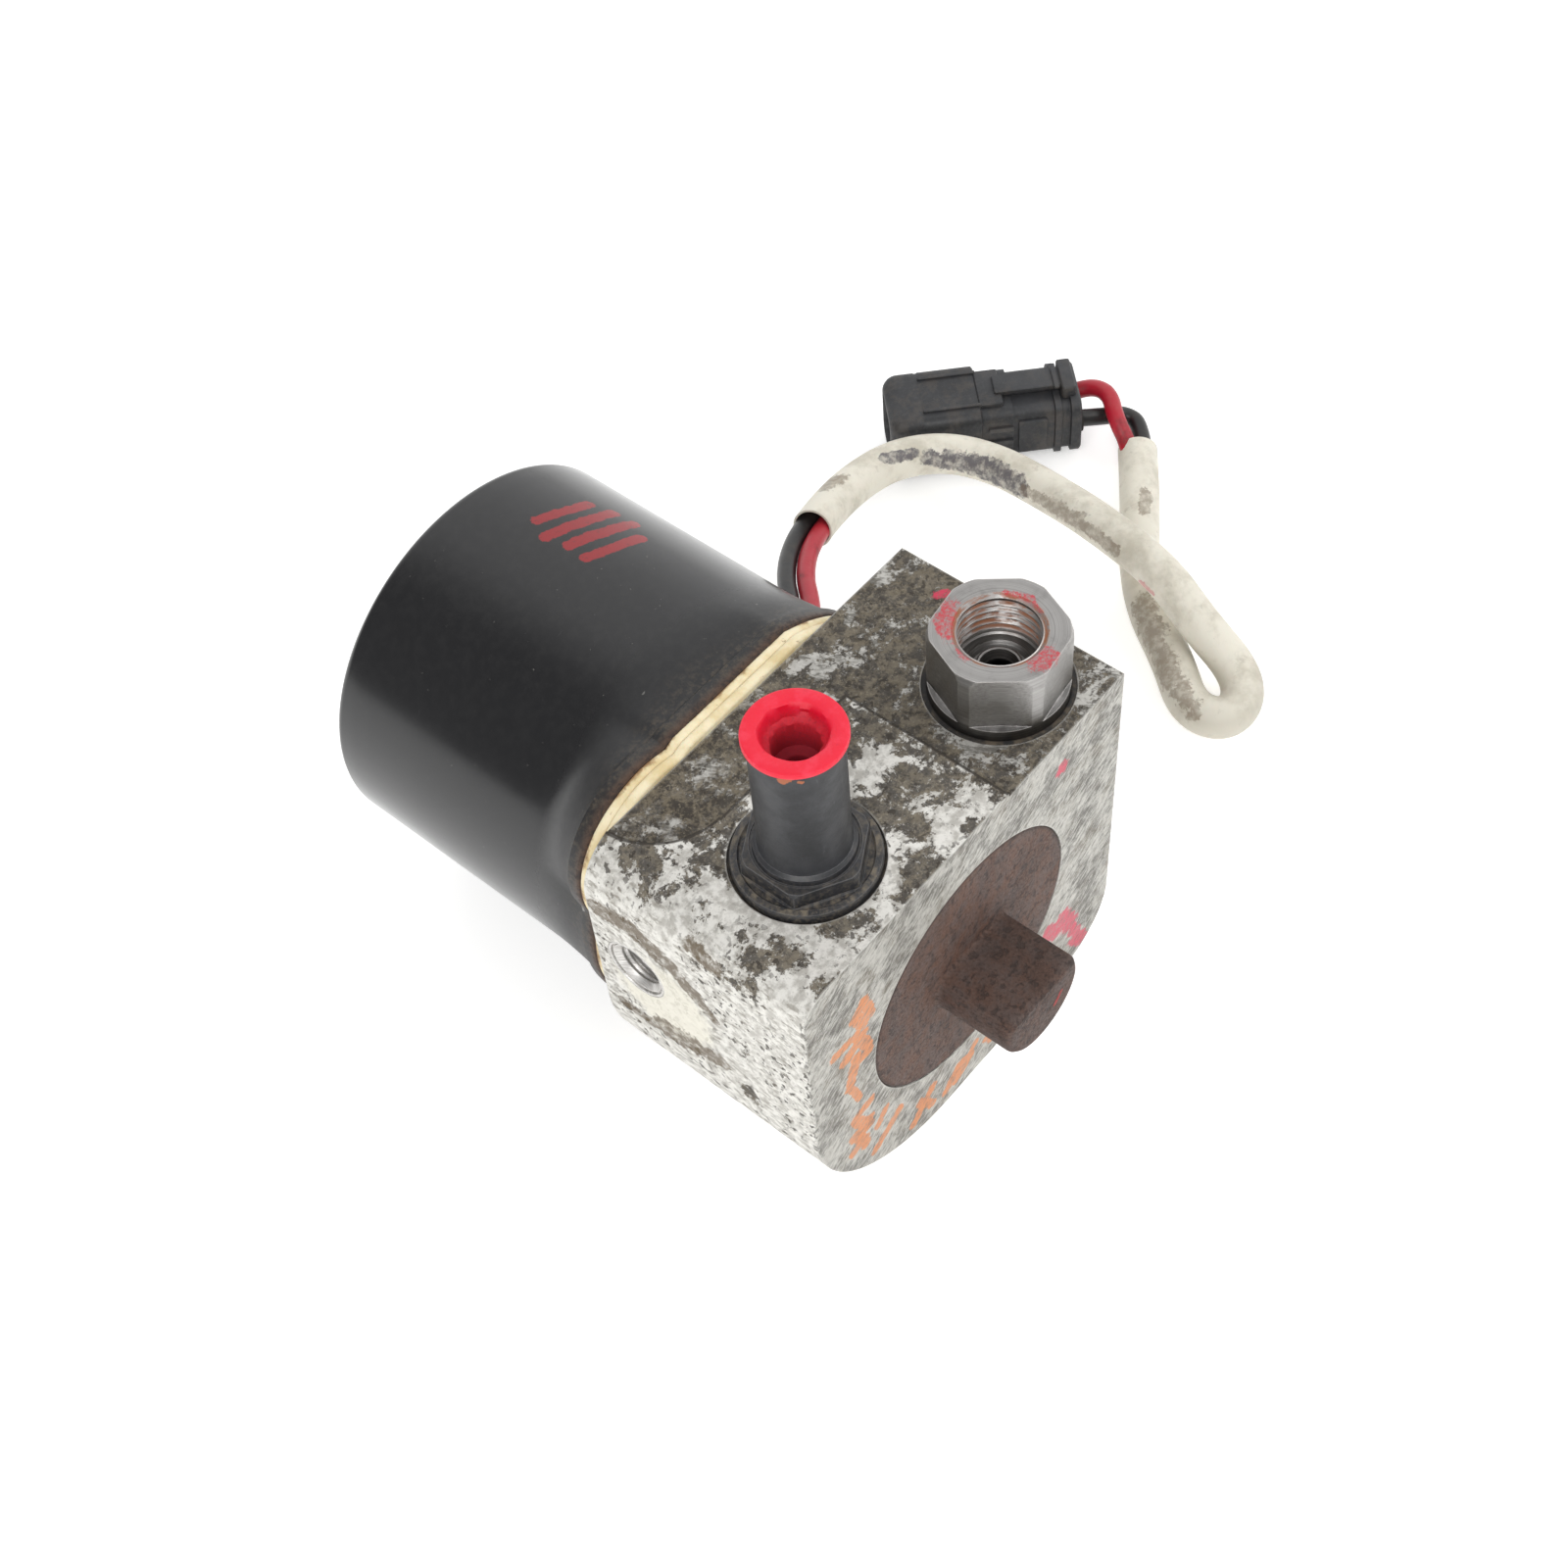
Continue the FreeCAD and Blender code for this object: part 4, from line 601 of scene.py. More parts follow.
# smooth metals, each with its own grain
metalKinds = {
    "steel": {"colour": tone(150, 148, 145), "dark": tone(104, 101, 98), "rough": 0.36, "metal": 1.0,
              "stretch": (1, 1, 1), "grain": 1.2},
    "bright_steel": {"colour": tone(224, 222, 219), "dark": tone(182, 179, 175), "rough": 0.4, "metal": 1.0,
                     "stretch": (0.3, 0.3, 6), "grain": 1.0},
    "bronze": {"colour": tone(190, 150, 96), "dark": tone(140, 104, 62), "rough": 0.34, "metal": 1.0,
               "stretch": (1, 4, 1), "grain": 0.8},
    "brass": {"colour": tone(212, 182, 112), "dark": tone(168, 136, 76), "rough": 0.3, "metal": 1.0,
              "stretch": (1, 1, 3), "grain": 0.9},
    "copper": {"colour": tone(204, 132, 96), "dark": tone(132, 80, 56), "rough": 0.3, "metal": 1.0,
               "stretch": (0.4, 5, 0.4), "grain": 0.9},
    "copper_wire": {"colour": tone(176, 84, 38), "dark": tone(96, 40, 18), "rough": 0.24, "metal": 0.6,
                    "stretch": (0.5, 0.2, 3.5), "grain": 1.4},
    "lamination": {"colour": tone(122, 122, 126), "dark": tone(66, 66, 70), "rough": 0.42, "metal": 0.9,
                   "stretch": (0.05, 8, 0.05), "grain": 0.5},
    "ferrite": {"colour": tone(66, 66, 68), "dark": tone(44, 44, 46), "rough": 0.7, "metal": 0.0,
                "stretch": (1, 1, 1), "grain": 1.6},
    "carbon": {"colour": tone(56, 55, 54), "dark": tone(34, 34, 34), "rough": 0.55, "metal": 0.0,
               "stretch": (1, 1, 1), "grain": 2.2},
}


def plainMetal(name, kind):
    material, tree, shader, spot = beginFinish(name + "Finish")
    grain = noiseValue(tree, calcVector(tree, "MULTIPLY", spot, kind["stretch"]), kind["grain"], 6.0, 0.65)
    worn = ramp(tree, grain, 0.36, 0.66)
    colour = over(tree, worn, kind["colour"], kind["dark"])
    colour = wornEdges(tree, spot, colour, kind["colour"], 0.0004, 0.5)
    rough = blendValue(tree, worn, kind["rough"], min(kind["rough"] + 0.16, 0.95))
    rounded = useGroup(tree, "edgeWear", "Normal", Vector=spot, Width=0.0003)
    wire(tree, shader, colour, rough, kind["metal"], grain, 0.00006, rounded, 0.4)
    return material


# the turned adaptor: satin steel, rust in its thread, a little red paint on its top
adaptorSettings = {
    "face": tone(170, 168, 166),
    "shade": tone(128, 126, 124),
    "rust": tone(150, 84, 32),
    "deepShadeAndGrime": tone(30, 27, 25),
    # near-black used for painted shade deep in the bore and for the darker foot
    "paint": tone(196, 52, 66),
    "worn": tone(226, 222, 218),
    "centre": (27.8, 15.4),
}
adaptorPaint = [((a, b, 50.4), (c, d, 50.4), size) for a, b, c, d, size in (
    (22.6, 21.6, 24.2, 24.2, 1.2), (24.2, 24.0, 27.0, 24.8, 1.0), (21.9, 19.3, 20.3, 16.6, 0.7),
    (34.3, 18.7, 35.8, 15.7, 0.8), (35.6, 15.7, 34.4, 13.0, 0.6), (25.8, 6.6, 28.3, 5.9, 1.2),
)]


def adaptorSteel():
    s = adaptorSettings
    material, tree, shader, spot = beginFinish("adaptorSteel", Anisotropic=0.35)
    place = axes(tree, spot)
    local = calcVector(tree, "SUBTRACT", spot, (*s["centre"], 0))
    flat = calcVector(tree, "MULTIPLY", local, (1, 1, 0))
    reach = calcVector(tree, "LENGTH", flat, output="Value")
    wave = addNode(tree, "CombineXYZ", {0: times(tree, reach, 5.0),
                                        2: times(tree, place["Z"], 3.0)}).outputs[0]
    lathe = noiseValue(tree, wave, 1.0, 4.0, 0.6)
    blur = noiseValue(tree, spot, 0.3, 6.0, 0.65)
    colour = over(tree, ramp(tree, lathe, 0.3, 0.72, 0.0, 0.7), s["face"], s["shade"])
    colour = over(tree, ramp(tree, blur, 0.5, 0.75, 0.0, 0.5), colour, s["shade"])
    inside = ramp(tree, reach, 8.25, 8.0)
    ringed = calcVector(tree, "MULTIPLY", spot, (0.5, 0.5, 2.6))
    rusty = times(tree, inside, ramp(tree, noiseValue(tree, ringed, 0.42, 6.0, 0.7), 0.42, 0.58))
    rusty = times(tree, rusty, ramp(tree, reach, 7.15, 7.45, 0.12, 1.0))
    rusty = times(tree, rusty, ramp(tree, place["Z"], 40.5, 43))
    colour = over(tree, rusty, colour, s["rust"], 0.85)
    # painted shade: the narrow bore darkens with depth
    depth = times(tree, ramp(tree, reach, 4.3, 3.4), ramp(tree, place["Z"], 39, 36))
    colour = over(tree, depth, colour, s["deepShadeAndGrime"], 0.8)
    # darker towards the foot of the adaptor, with a ragged edge
    foot = ramp(tree, plus(tree, place["Z"], times(tree, blur, 3.0)), 41.2, 40.0)
    colour = over(tree, foot, colour, s["deepShadeAndGrime"], 0.6)
    paint = times(tree, strokes(tree, spot, adaptorPaint, 1.5, 0.8), ramp(tree, reach, 7.3, 8.0))
    paint = times(tree, paint, ramp(tree, noiseValue(tree, spot, 1.6, 6.0, 0.75), 0.38, 0.6, 0.15, 0.9))
    colour = over(tree, paint, colour, s["paint"])
    colour = wornEdges(tree, spot, colour, s["worn"], 0.0004, 0.55)
    dirty = calc(tree, "MAXIMUM", rusty, paint)
    metal = blendValue(tree, dirty, 1.0, 0.1)
    rough = blendValue(tree, dirty, ramp(tree, blur, 0.3, 0.7, 0.36, 0.52), 0.75)
    wire(tree, shader, colour, rough, metal, lathe, 0.00008, None, 0.5)
    return material


# brown rust, darker and flakier on the stub
rustSettings = {
    "brown": tone(100, 83, 77),
    "red": tone(106, 76, 62),
    "dark": tone(50, 40, 37),
    "pale": tone(134, 110, 96),
    "mark": tone(170, 44, 44),
    "journal": tone(168, 166, 163),
}


def rustedSteel():
    s = rustSettings
    material, tree, shader, spot = beginFinish("rustedSteel")
    place = axes(tree, spot)
    cloud = noiseValue(tree, spot, 0.22, 7.0, 0.68)
    fine = noiseValue(tree, spot, 1.7, 6.0, 0.7)
    colour = over(tree, ramp(tree, cloud, 0.38, 0.62), s["brown"], s["red"])
    upright = calcVector(tree, "MULTIPLY", spot, (1, 1, 0.5))
    broad = ramp(tree, noiseValue(tree, upright, 0.12, 7.0, 0.7), 0.42, 0.6)
    colour = over(tree, broad, colour, s["dark"], 0.35)
    colour = over(tree, ramp(tree, fine, 0.48, 0.68, 0.0, 0.65), colour, s["dark"])
    colour = over(tree, ramp(tree, fine, 0.42, 0.3, 0.0, 0.4), colour, s["pale"])
    flat = calcVector(tree, "MULTIPLY", spot, (1, 0, 1))
    rim = ramp(tree, calcVector(tree, "LENGTH", flat, output="Value"), 25.4, 26.1)
    colour = over(tree, rim, colour, s["dark"], 0.75)
    stub = ramp(tree, place["Y"], 0.2, -0.8)
    colour = over(tree, stub, colour, s["dark"], 0.42)
    pit = useGroup(tree, "mottle", Vector=spot, Scale=0.55, Seed=(4, 4, 9), Level=0.58, Softness=0.03)
    colour = over(tree, pit, colour, s["dark"], 0.6)
    mark = strokes(tree, spot, [((3.4, -15.5, -3.6), (5.0, -15.5, -1.6), 1.0)], 0.55, 0.5)
    colour = over(tree, mark, colour, s["mark"], 0.7)
    lift = calc(tree, "SUBTRACT", plus(tree, fine, times(tree, cloud, 0.8)), pit)
    colour = wornEdges(tree, spot, colour, s["pale"], 0.0006, 0.4)
    deeper = ramp(tree, place["Y"], 6.2, 7.2)      # the journal behind the disc stays bright
    colour = over(tree, deeper, colour, s["journal"])
    metal = blendValue(tree, deeper, 0.12, 1.0)
    rough = blendValue(tree, deeper, ramp(tree, fine, 0.35, 0.65, 0.62, 0.85), 0.3)
    wire(tree, shader, colour, rough, metal, lift, 0.0003, None, 0.6)
    return material


# the can's gloss paint, dusty towards the flange
canSettings = {
    "paint": tone(22, 22, 24),
    "scuff": tone(62, 62, 64),
    "dust": tone(112, 98, 80),
    "rust": tone(80, 58, 44),
    "stroke": tone(142, 28, 34),
    "settled": tone(170, 168, 164),
    "fleck": tone(150, 148, 142),
}
canHatch = [
    ((7.5, 103.6, 37.3), (13.0, 102.2, 35.7), 0.9), ((13.0, 102.2, 35.7), (18.5, 101.7, 33.2), 0.9),
    ((5.5, 99.2, 37.6), (12.75, 97.8, 35.8), 1.0), ((12.75, 97.8, 35.8), (20.0, 97.3, 32.3), 1.0),
    ((6.5, 94.6, 37.4), (13.5, 93.2, 35.5), 1.0), ((13.5, 93.2, 35.5), (20.5, 92.7, 32.0), 1.0),
    ((6.0, 90.0, 37.5), (12.0, 88.6, 36.1), 0.9), ((12.0, 88.6, 36.1), (18.0, 88.1, 33.5), 0.9),
]


def canPaint():
    s = canSettings
    material, tree, shader, spot = beginFinish("canBlackPaint", Coat_Roughness=0.12)
    place = axes(tree, spot)
    haze = noiseValue(tree, spot, 0.05, 5.0, 0.6)
    fine = noiseValue(tree, spot, 0.9, 7.0, 0.72)
    scratch = noiseValue(tree, calcVector(tree, "MULTIPLY", spot, (0.12, 1.0, 0.16)), 1.5, 6.0, 0.75)
    colour = over(tree, ramp(tree, scratch, 0.66, 0.74, 0.0, 0.5), s["paint"], s["scuff"])
    nearness = calc(tree, "SUBTRACT", place["Y"], times(tree, haze, 14.0))
    near = ramp(tree, nearness, 54.0, 46.0)
    dusty = times(tree, near, ramp(tree, fine, 0.42, 0.7))
    colour = over(tree, dusty, colour, s["dust"], 0.4)
    dust = useGroup(tree, "settledDust", Vector=spot, Amount=0.012, Scale=0.5)
    colour = over(tree, dust, colour, s["settled"])
    speck = useGroup(tree, "mottle", Vector=spot, Scale=0.9, Seed=(9, 2, 2), Level=0.70, Softness=0.015)
    colour = over(tree, speck, colour, s["fleck"], 0.35)
    lip = ramp(tree, plus(tree, place["Y"], times(tree, fine, 3.0)), 55.0, 53.4)
    colour = over(tree, lip, colour, s["rust"], ramp(tree, fine, 0.34, 0.6, 0.2, 0.85))
    mark = times(tree, strokes(tree, spot, canHatch, 1.35, 0.3), ramp(tree, place["Z"], 10, 20))
    mark = times(tree, mark, ramp(tree, fine, 0.70, 0.55, 0.4, 1.0))
    colour = over(tree, mark, colour, s["stroke"])
    swept = ramp(tree, plus(tree, place["Y"], times(tree, fine, 6.0)), 75.0, 60.0, 0.0, 0.6)
    dull = calc(tree, "MAXIMUM", calc(tree, "MAXIMUM", dusty, lip), swept)
    rough = blendValue(tree, dull, ramp(tree, haze, 0.35, 0.65, 0.17, 0.22), 0.7)
    coat = blendValue(tree, calc(tree, "MAXIMUM", dull, mark), 0.12, 0.0)
    lift = times(tree, fine, plus(tree, times(tree, dull, 1.2), 0.02))
    wire(tree, shader, colour, rough, 0.0, lift, 0.0002, None, 0.35, coat)
    return material


# aged cream gaskets, browned on the can side
gasketSettings = {
    "cream": tone(236, 224, 190),
    "yellowed": tone(216, 196, 148),
    "brown": tone(128, 88, 48),
    "seam": 49.3,
}


def agedGasket():
    s = gasketSettings
    material, tree, shader, spot = beginFinish("agedGasket", Subsurface_Weight=0.06, Subsurface_Scale=0.001)
    place = axes(tree, spot)
    cloud = noiseValue(tree, spot, 0.13, 6.0, 0.65)
    fine = noiseValue(tree, spot, 1.3, 6.0, 0.7)
    colour = over(tree, ramp(tree, cloud, 0.4, 0.66), s["cream"], s["yellowed"])
    rise = plus(tree, place["Y"], times(tree, calc(tree, "SUBTRACT", cloud, 0.5), 6.0))
    canSide = ramp(tree, plus(tree, rise, fine), 51.2, 52.3)
    colour = over(tree, canSide, colour, s["brown"], 0.9)
    line = calc(tree, "ABSOLUTE", calc(tree, "SUBTRACT", place["Y"], s["seam"]))
    colour = over(tree, ramp(tree, plus(tree, line, times(tree, fine, 0.3)), 0.34, 0.12, 0.0, 0.6),
                  colour, s["brown"])
    spots = useGroup(tree, "mottle", Vector=spot, Scale=0.5, Seed=(8, 8, 1), Level=0.66, Softness=0.03)
    colour = over(tree, spots, colour, s["brown"], 0.6)
    wire(tree, shader, colour, ramp(tree, fine, 0.3, 0.7, 0.5, 0.68), 0.0, fine, 0.00012, None, 0.5)
    return material


# moulded and extruded plastics and rubbers
plasticDust = tone(140, 124, 100)
plasticKinds = {
    "black_rubber": {"colour": tone(34, 33, 33), "worn": tone(60, 56, 52), "rough": 0.7, "dust": 0.35},
    "black_plastic": {"colour": tone(46, 47, 50), "worn": tone(78, 78, 80), "rough": 0.42, "dust": 0.25},
    "red_lead": {"colour": tone(176, 26, 46), "worn": tone(70, 24, 28), "rough": 0.34, "dust": 0.08},
    "black_lead": {"colour": tone(28, 28, 29), "worn": tone(56, 52, 50), "rough": 0.32, "dust": 0.06},
}


def plainPlastic(name, kind):
    material, tree, shader, spot = beginFinish(name + "Finish")
    cloud = noiseValue(tree, spot, 0.16, 6.0, 0.65)
    fine = noiseValue(tree, spot, 1.6, 7.0, 0.7)
    colour = over(tree, ramp(tree, cloud, 0.5, 0.72, 0.0, 0.7), kind["colour"], kind["worn"])
    dust = useGroup(tree, "settledDust", Vector=spot, Amount=kind["dust"], Scale=0.3)
    colour = over(tree, dust, colour, plasticDust)
    colour = wornEdges(tree, spot, colour, kind["worn"], 0.0005, 0.35)
    rough = blendValue(tree, dust, ramp(tree, cloud, 0.35, 0.65, kind["rough"], kind["rough"] + 0.14), 0.85)
    rounded = useGroup(tree, "edgeWear", "Normal", Vector=spot, Width=0.0004)
    wire(tree, shader, colour, rough, 0.0, fine, 0.00005, rounded, 0.45)
    return material


# the hose stub: charcoal moulding, its flange full of grit
stubSettings = {
    "charcoal": tone(43, 44, 48),
    "shade": tone(32, 33, 36),
    "grit": tone(124, 114, 98),
    "chip": tone(176, 96, 52),
    "drawn": tone(96, 97, 100),
    "edge": tone(118, 118, 120),
}


def stubPlastic():
    s = stubSettings
    material, tree, shader, spot = beginFinish("hoseStubPlastic")
    place = axes(tree, spot)
    cloud = noiseValue(tree, spot, 0.2, 6.0, 0.66)
    fine = noiseValue(tree, spot, 1.5, 8.0, 0.74)
    draw = noiseValue(tree, calcVector(tree, "MULTIPLY", spot, (1, 1, 0.15)), 1.1, 5.0, 0.7)
    colour = over(tree, ramp(tree, cloud, 0.4, 0.65), s["charcoal"], s["shade"])
    colour = over(tree, ramp(tree, draw, 0.62, 0.74, 0.0, 0.35), colour, s["drawn"])
    low = ramp(tree, plus(tree, place["Z"], times(tree, cloud, 5.0)), 46.0, 42.0)
    gritty = times(tree, low, ramp(tree, fine, 0.46, 0.66))
    dust = useGroup(tree, "settledDust", Vector=spot, Amount=0.8, Scale=0.5)
    gritty = calc(tree, "MAXIMUM", times(tree, gritty, 0.45), times(tree, dust, low))
    colour = over(tree, gritty, colour, s["grit"])
    chip = strokes(tree, spot, [((-26.2, 14.8, 67.6), (-25.6, 13.9, 68.2), 1.0),
                                ((-24.9, 12.8, 67.4), (-24.6, 12.4, 67.2), 0.5)], 0.75, 0.6)
    colour = over(tree, chip, colour, s["chip"], 0.8)
    colour = wornEdges(tree, spot, colour, s["edge"], 0.00035, 0.8)
    rough = blendValue(tree, gritty, ramp(tree, cloud, 0.35, 0.65, 0.36, 0.5), 0.85)
    wire(tree, shader, colour, rough, 0.0, plus(tree, fine, times(tree, gritty, 1.5)),
         0.00009, None, 0.5)
    return material


capSettings = {
    "rim": tone(228, 14, 50),
    "pale": tone(240, 70, 96),
    # bore and deep tints: painted shade down the hole's inner wall
    "bore": tone(170, 16, 36),
    "deepShadeAndGrime": tone(150, 28, 46),
    "rubbed": tone(190, 30, 50),
    "rimHeight": 68.8,
}


def capRed():
    s = capSettings
    material, tree, shader, spot = beginFinish("transitCapRed", Subsurface_Weight=0.12,
                                                 Subsurface_Scale=0.0012)
    place = axes(tree, spot)
    cloud = noiseValue(tree, spot, 0.3, 6.0, 0.6)
    fine = noiseValue(tree, spot, 1.8, 6.0, 0.7)
    colour = over(tree, ramp(tree, cloud, 0.45, 0.68, 0.0, 0.35), s["rim"], s["pale"])
    # painted shade: the hole's inner wall is tinted darker below the rim, and darker still further down
    inner = ramp(tree, place["Z"], s["rimHeight"] + 0.8, s["rimHeight"] - 2.8)
    colour = over(tree, inner, colour, s["bore"], 0.9)
    colour = over(tree, ramp(tree, place["Z"], 66.4, 60.0), colour, s["deepShadeAndGrime"])
    # grit specks in the bore, in the shade colour
    grit = times(tree, inner, ramp(tree, fine, 0.5, 0.6, 0.0, 0.6))
    colour = over(tree, grit, colour, s["deepShadeAndGrime"])
    scuffs = useGroup(tree, "mottle", Vector=spot, Scale=0.5, Seed=(1, 14, 5), Level=0.66, Softness=0.04)
    colour = over(tree, scuffs, colour, s["rubbed"], 0.3)
    edge = useGroup(tree, "edgeWear", Vector=spot, Width=0.0004, Amount=0.35)
    outside = ramp(tree, inner, 0.25, 0.05)
    colour = over(tree, edge, colour, s["pale"], outside)
    rough = blendValue(tree, inner, ramp(tree, fine, 0.3, 0.7, 0.42, 0.58), 0.8)
    wire(tree, shader, colour, rough, 0.0, fine, 0.00012, None, 0.5)
    return material


# the plain sleeve: dull cream, scuffed grey and brown where it was handled, with painted shade on the lower
# strand of the loop
sleeveSettings = {
    "cream": tone(226, 221, 207),
    "shade": tone(196, 190, 174),
    "grey": tone(92, 88, 92),
    "brown": tone(120, 104, 86),
    # the dusty tint is painted shade on the lower strand
    "dusty": tone(168, 162, 148),
    "pink": tone(206, 116, 120),
}
greyScuffs = [
    ((108.2, 95.1, -24.0), (109.8, 89.6, -24.0), 0.6), ((109.8, 89.6, -24.0), (111.4, 84.7, -24.0), 1.1),
    ((111.4, 84.7, -24.0), (112.6, 78.8, -24.0), 1.25), ((112.6, 78.8, -24.0), (112.8, 73.6, -24.0), 1.0),
    ((99.8, 99.4, -20.4), (106.0, 96.0, -21.6), 0.5),
]
# brown smears; the three on the lower strand between the crossing and the fold also serve as painted shade
brownScuffsAndShade = [
    ((82.8, 101.4, -17.0), (86.6, 101.6, -17.8), 1.1), ((111.6, 72.0, -23.6), (111.2, 63.5, -22.4), 0.9),
    ((111.2, 62.5, -22.2), (110.2, 55.0, -21.0), 1.0), ((110.2, 55.0, -21.0), (107.6, 44.8, -20.5), 0.8),
    ((107.4, 36.2, -33.0), (101.7, 29.6, -33.0), 1.5), ((100.6, 28.4, -33.0), (94.8, 20.5, -33.0), 1.3),
    ((93.6, 17.4, -33.0), (91.4, 12.6, -34.0), 1.2), ((134.0, 54.2, -32.0), (129.6, 51.7, -32.0), 0.8),
]
pinkScuffs = [((105.4, 36.5, -24.0), (104.5, 33.8, -24.0), 0.8)]


def sleeveCream():
    s = sleeveSettings
    material, tree, shader, spot = beginFinish("leadSleeveCream", Subsurface_Weight=0.05,
                                                 Subsurface_Scale=0.001)
    place = axes(tree, spot)
    cloud = noiseValue(tree, spot, 0.09, 6.0, 0.65)
    fine = noiseValue(tree, spot, 1.2, 8.0, 0.74)
    colour = over(tree, ramp(tree, cloud, 0.42, 0.66), s["cream"], s["shade"])
    scuff = useGroup(tree, "mottle", Vector=spot, Scale=0.34, Seed=(3, 70, 2), Level=0.62, Softness=0.05,
                     Raggedness=0.74)
    colour = over(tree, scuff, colour, s["brown"], 0.22)
    # painted shade: the lower strand, under the upper one, is tinted darker
    low = times(tree, ramp(tree, place["Z"], -30, -34), ramp(tree, place["X"], 122, 108))
    colour = over(tree, low, colour, s["dusty"], 0.5)
    held = ramp(tree, noiseValue(tree, spot, 0.5, 9.0, 0.7), 0.34, 0.58, 0.35, 0.95)
    grey = times(tree, strokes(tree, spot, greyScuffs, 2.8, 0.45), held)
    colour = over(tree, grey, colour, s["grey"])
    # brown smears, partly painted shade on the lower strand
    brown = times(tree, strokes(tree, spot, brownScuffsAndShade, 1.9, 0.7), held)
    colour = over(tree, brown, colour, s["brown"], 0.7)
    pink = times(tree, strokes(tree, spot, pinkScuffs, 1.5, 0.6), held)
    colour = over(tree, pink, colour, s["pink"], 0.8)
    wire(tree, shader, colour, ramp(tree, fine, 0.3, 0.7, 0.42, 0.6), 0.0,
         plus(tree, fine, times(tree, cloud, 2.0)), 0.0001, None, 0.45)
    return material


plugSettings = {
    "black": tone(34, 35, 38),
    "worn": tone(62, 63, 66),
    "mud": tone(84, 76, 68),
    "paintedSheen": tone(150, 151, 153),
    "shadow": tone(30, 30, 32),
}


def plugPlastic():
    s = plugSettings
    material, tree, shader, spot = beginFinish("plugWeatheredPlastic")
    place = axes(tree, spot)
    cloud = noiseValue(tree, spot, 0.14, 7.0, 0.68)
    fine = noiseValue(tree, spot, 1.3, 8.0, 0.74)
    colour = over(tree, ramp(tree, fine, 0.46, 0.7, 0.0, 0.5), s["black"], s["worn"])
    # painted sheen: faces that point up are tinted lighter
    up = ramp(tree, axes(tree, addNode(tree, "TexCoord").outputs["Normal"])["Z"], 0.5, 0.95)
    colour = over(tree, up, colour, s["paintedSheen"], 0.04)
    mud = useGroup(tree, "mottle", Vector=spot, Scale=0.16, Seed=(14, 3, 2), Level=0.53, Softness=0.06,
                   Raggedness=0.72)
    colour = over(tree, mud, colour, s["mud"], 0.34)
    rubbed = times(tree, up, ramp(tree, place["X"], 131, 137))
    colour = over(tree, rubbed, colour, s["worn"], 0.5)
    colour = wornEdges(tree, spot, colour, s["worn"], 0.0006, 0.4)
    low = ramp(tree, place["Z"], -34, -40)
    colour = over(tree, low, colour, s["shadow"], 0.3)
    wire(tree, shader, colour, ramp(tree, cloud, 0.35, 0.65, 0.45, 0.62), 0.0, fine, 0.00008, None, 0.5)
    return material


finishes = {
    "cast_alloy": castAlloy(), "black_paint": canPaint(), "rusty_steel": rustedSteel(),
    "cream_rubber": agedGasket(), "red_plastic": capRed(), "cream_sleeve": sleeveCream(),
}
for slotName, kind in metalKinds.items():
    finishes[slotName] = plainMetal(slotName, kind)
for slotName, kind in plasticKinds.items():
    finishes[slotName] = plainPlastic(slotName, kind)
finishes["adaptor"] = adaptorSteel()
finishes["hoseStub"] = stubPlastic()
finishes["plug"] = plugPlastic()
print("finishes", len(finishes))

nodeSlots = {part["node"]: part["material_slot"] for part in frame["record"]["subparts"]}
for nodeName, piece in nodes.items():
    piece.data.materials.clear()
    piece.data.materials.append(finishes[nodeSlots[nodeName]])
print("CAD nodes finished", len(nodes))


def dress(piece, finish):
    piece.data.materials.append(finishes[finish])
    return piece


def turnedPiece(name, node, slot, angle, rings, sides, axis="Z", centre=(0, 0), start=0.0, loop=True,
                finish=None):
    build = bmesh.new()
    turned(build, rings, sides, axis, centre, start, loop)
    dress(finishMesh(name, build, "housing", [node], angle), finish or slot)


# the gear motor's spindle: rusted disc and D stub outside, bright journal and shaft inside
spindleShape = {
    "stub": 9.8, "flat": 4.0, "tip": -15.5, "chamfer": 0.8,
    "disc": 26.25, "discThick": 5.8, "journal": 10.0, "journalEnd": 12.2, "shaft": 5.0, "shaftEnd": 44.0,
    "flatBlend": 2.2, "pitScale": 700, "pitDepth": 0.00006,
}


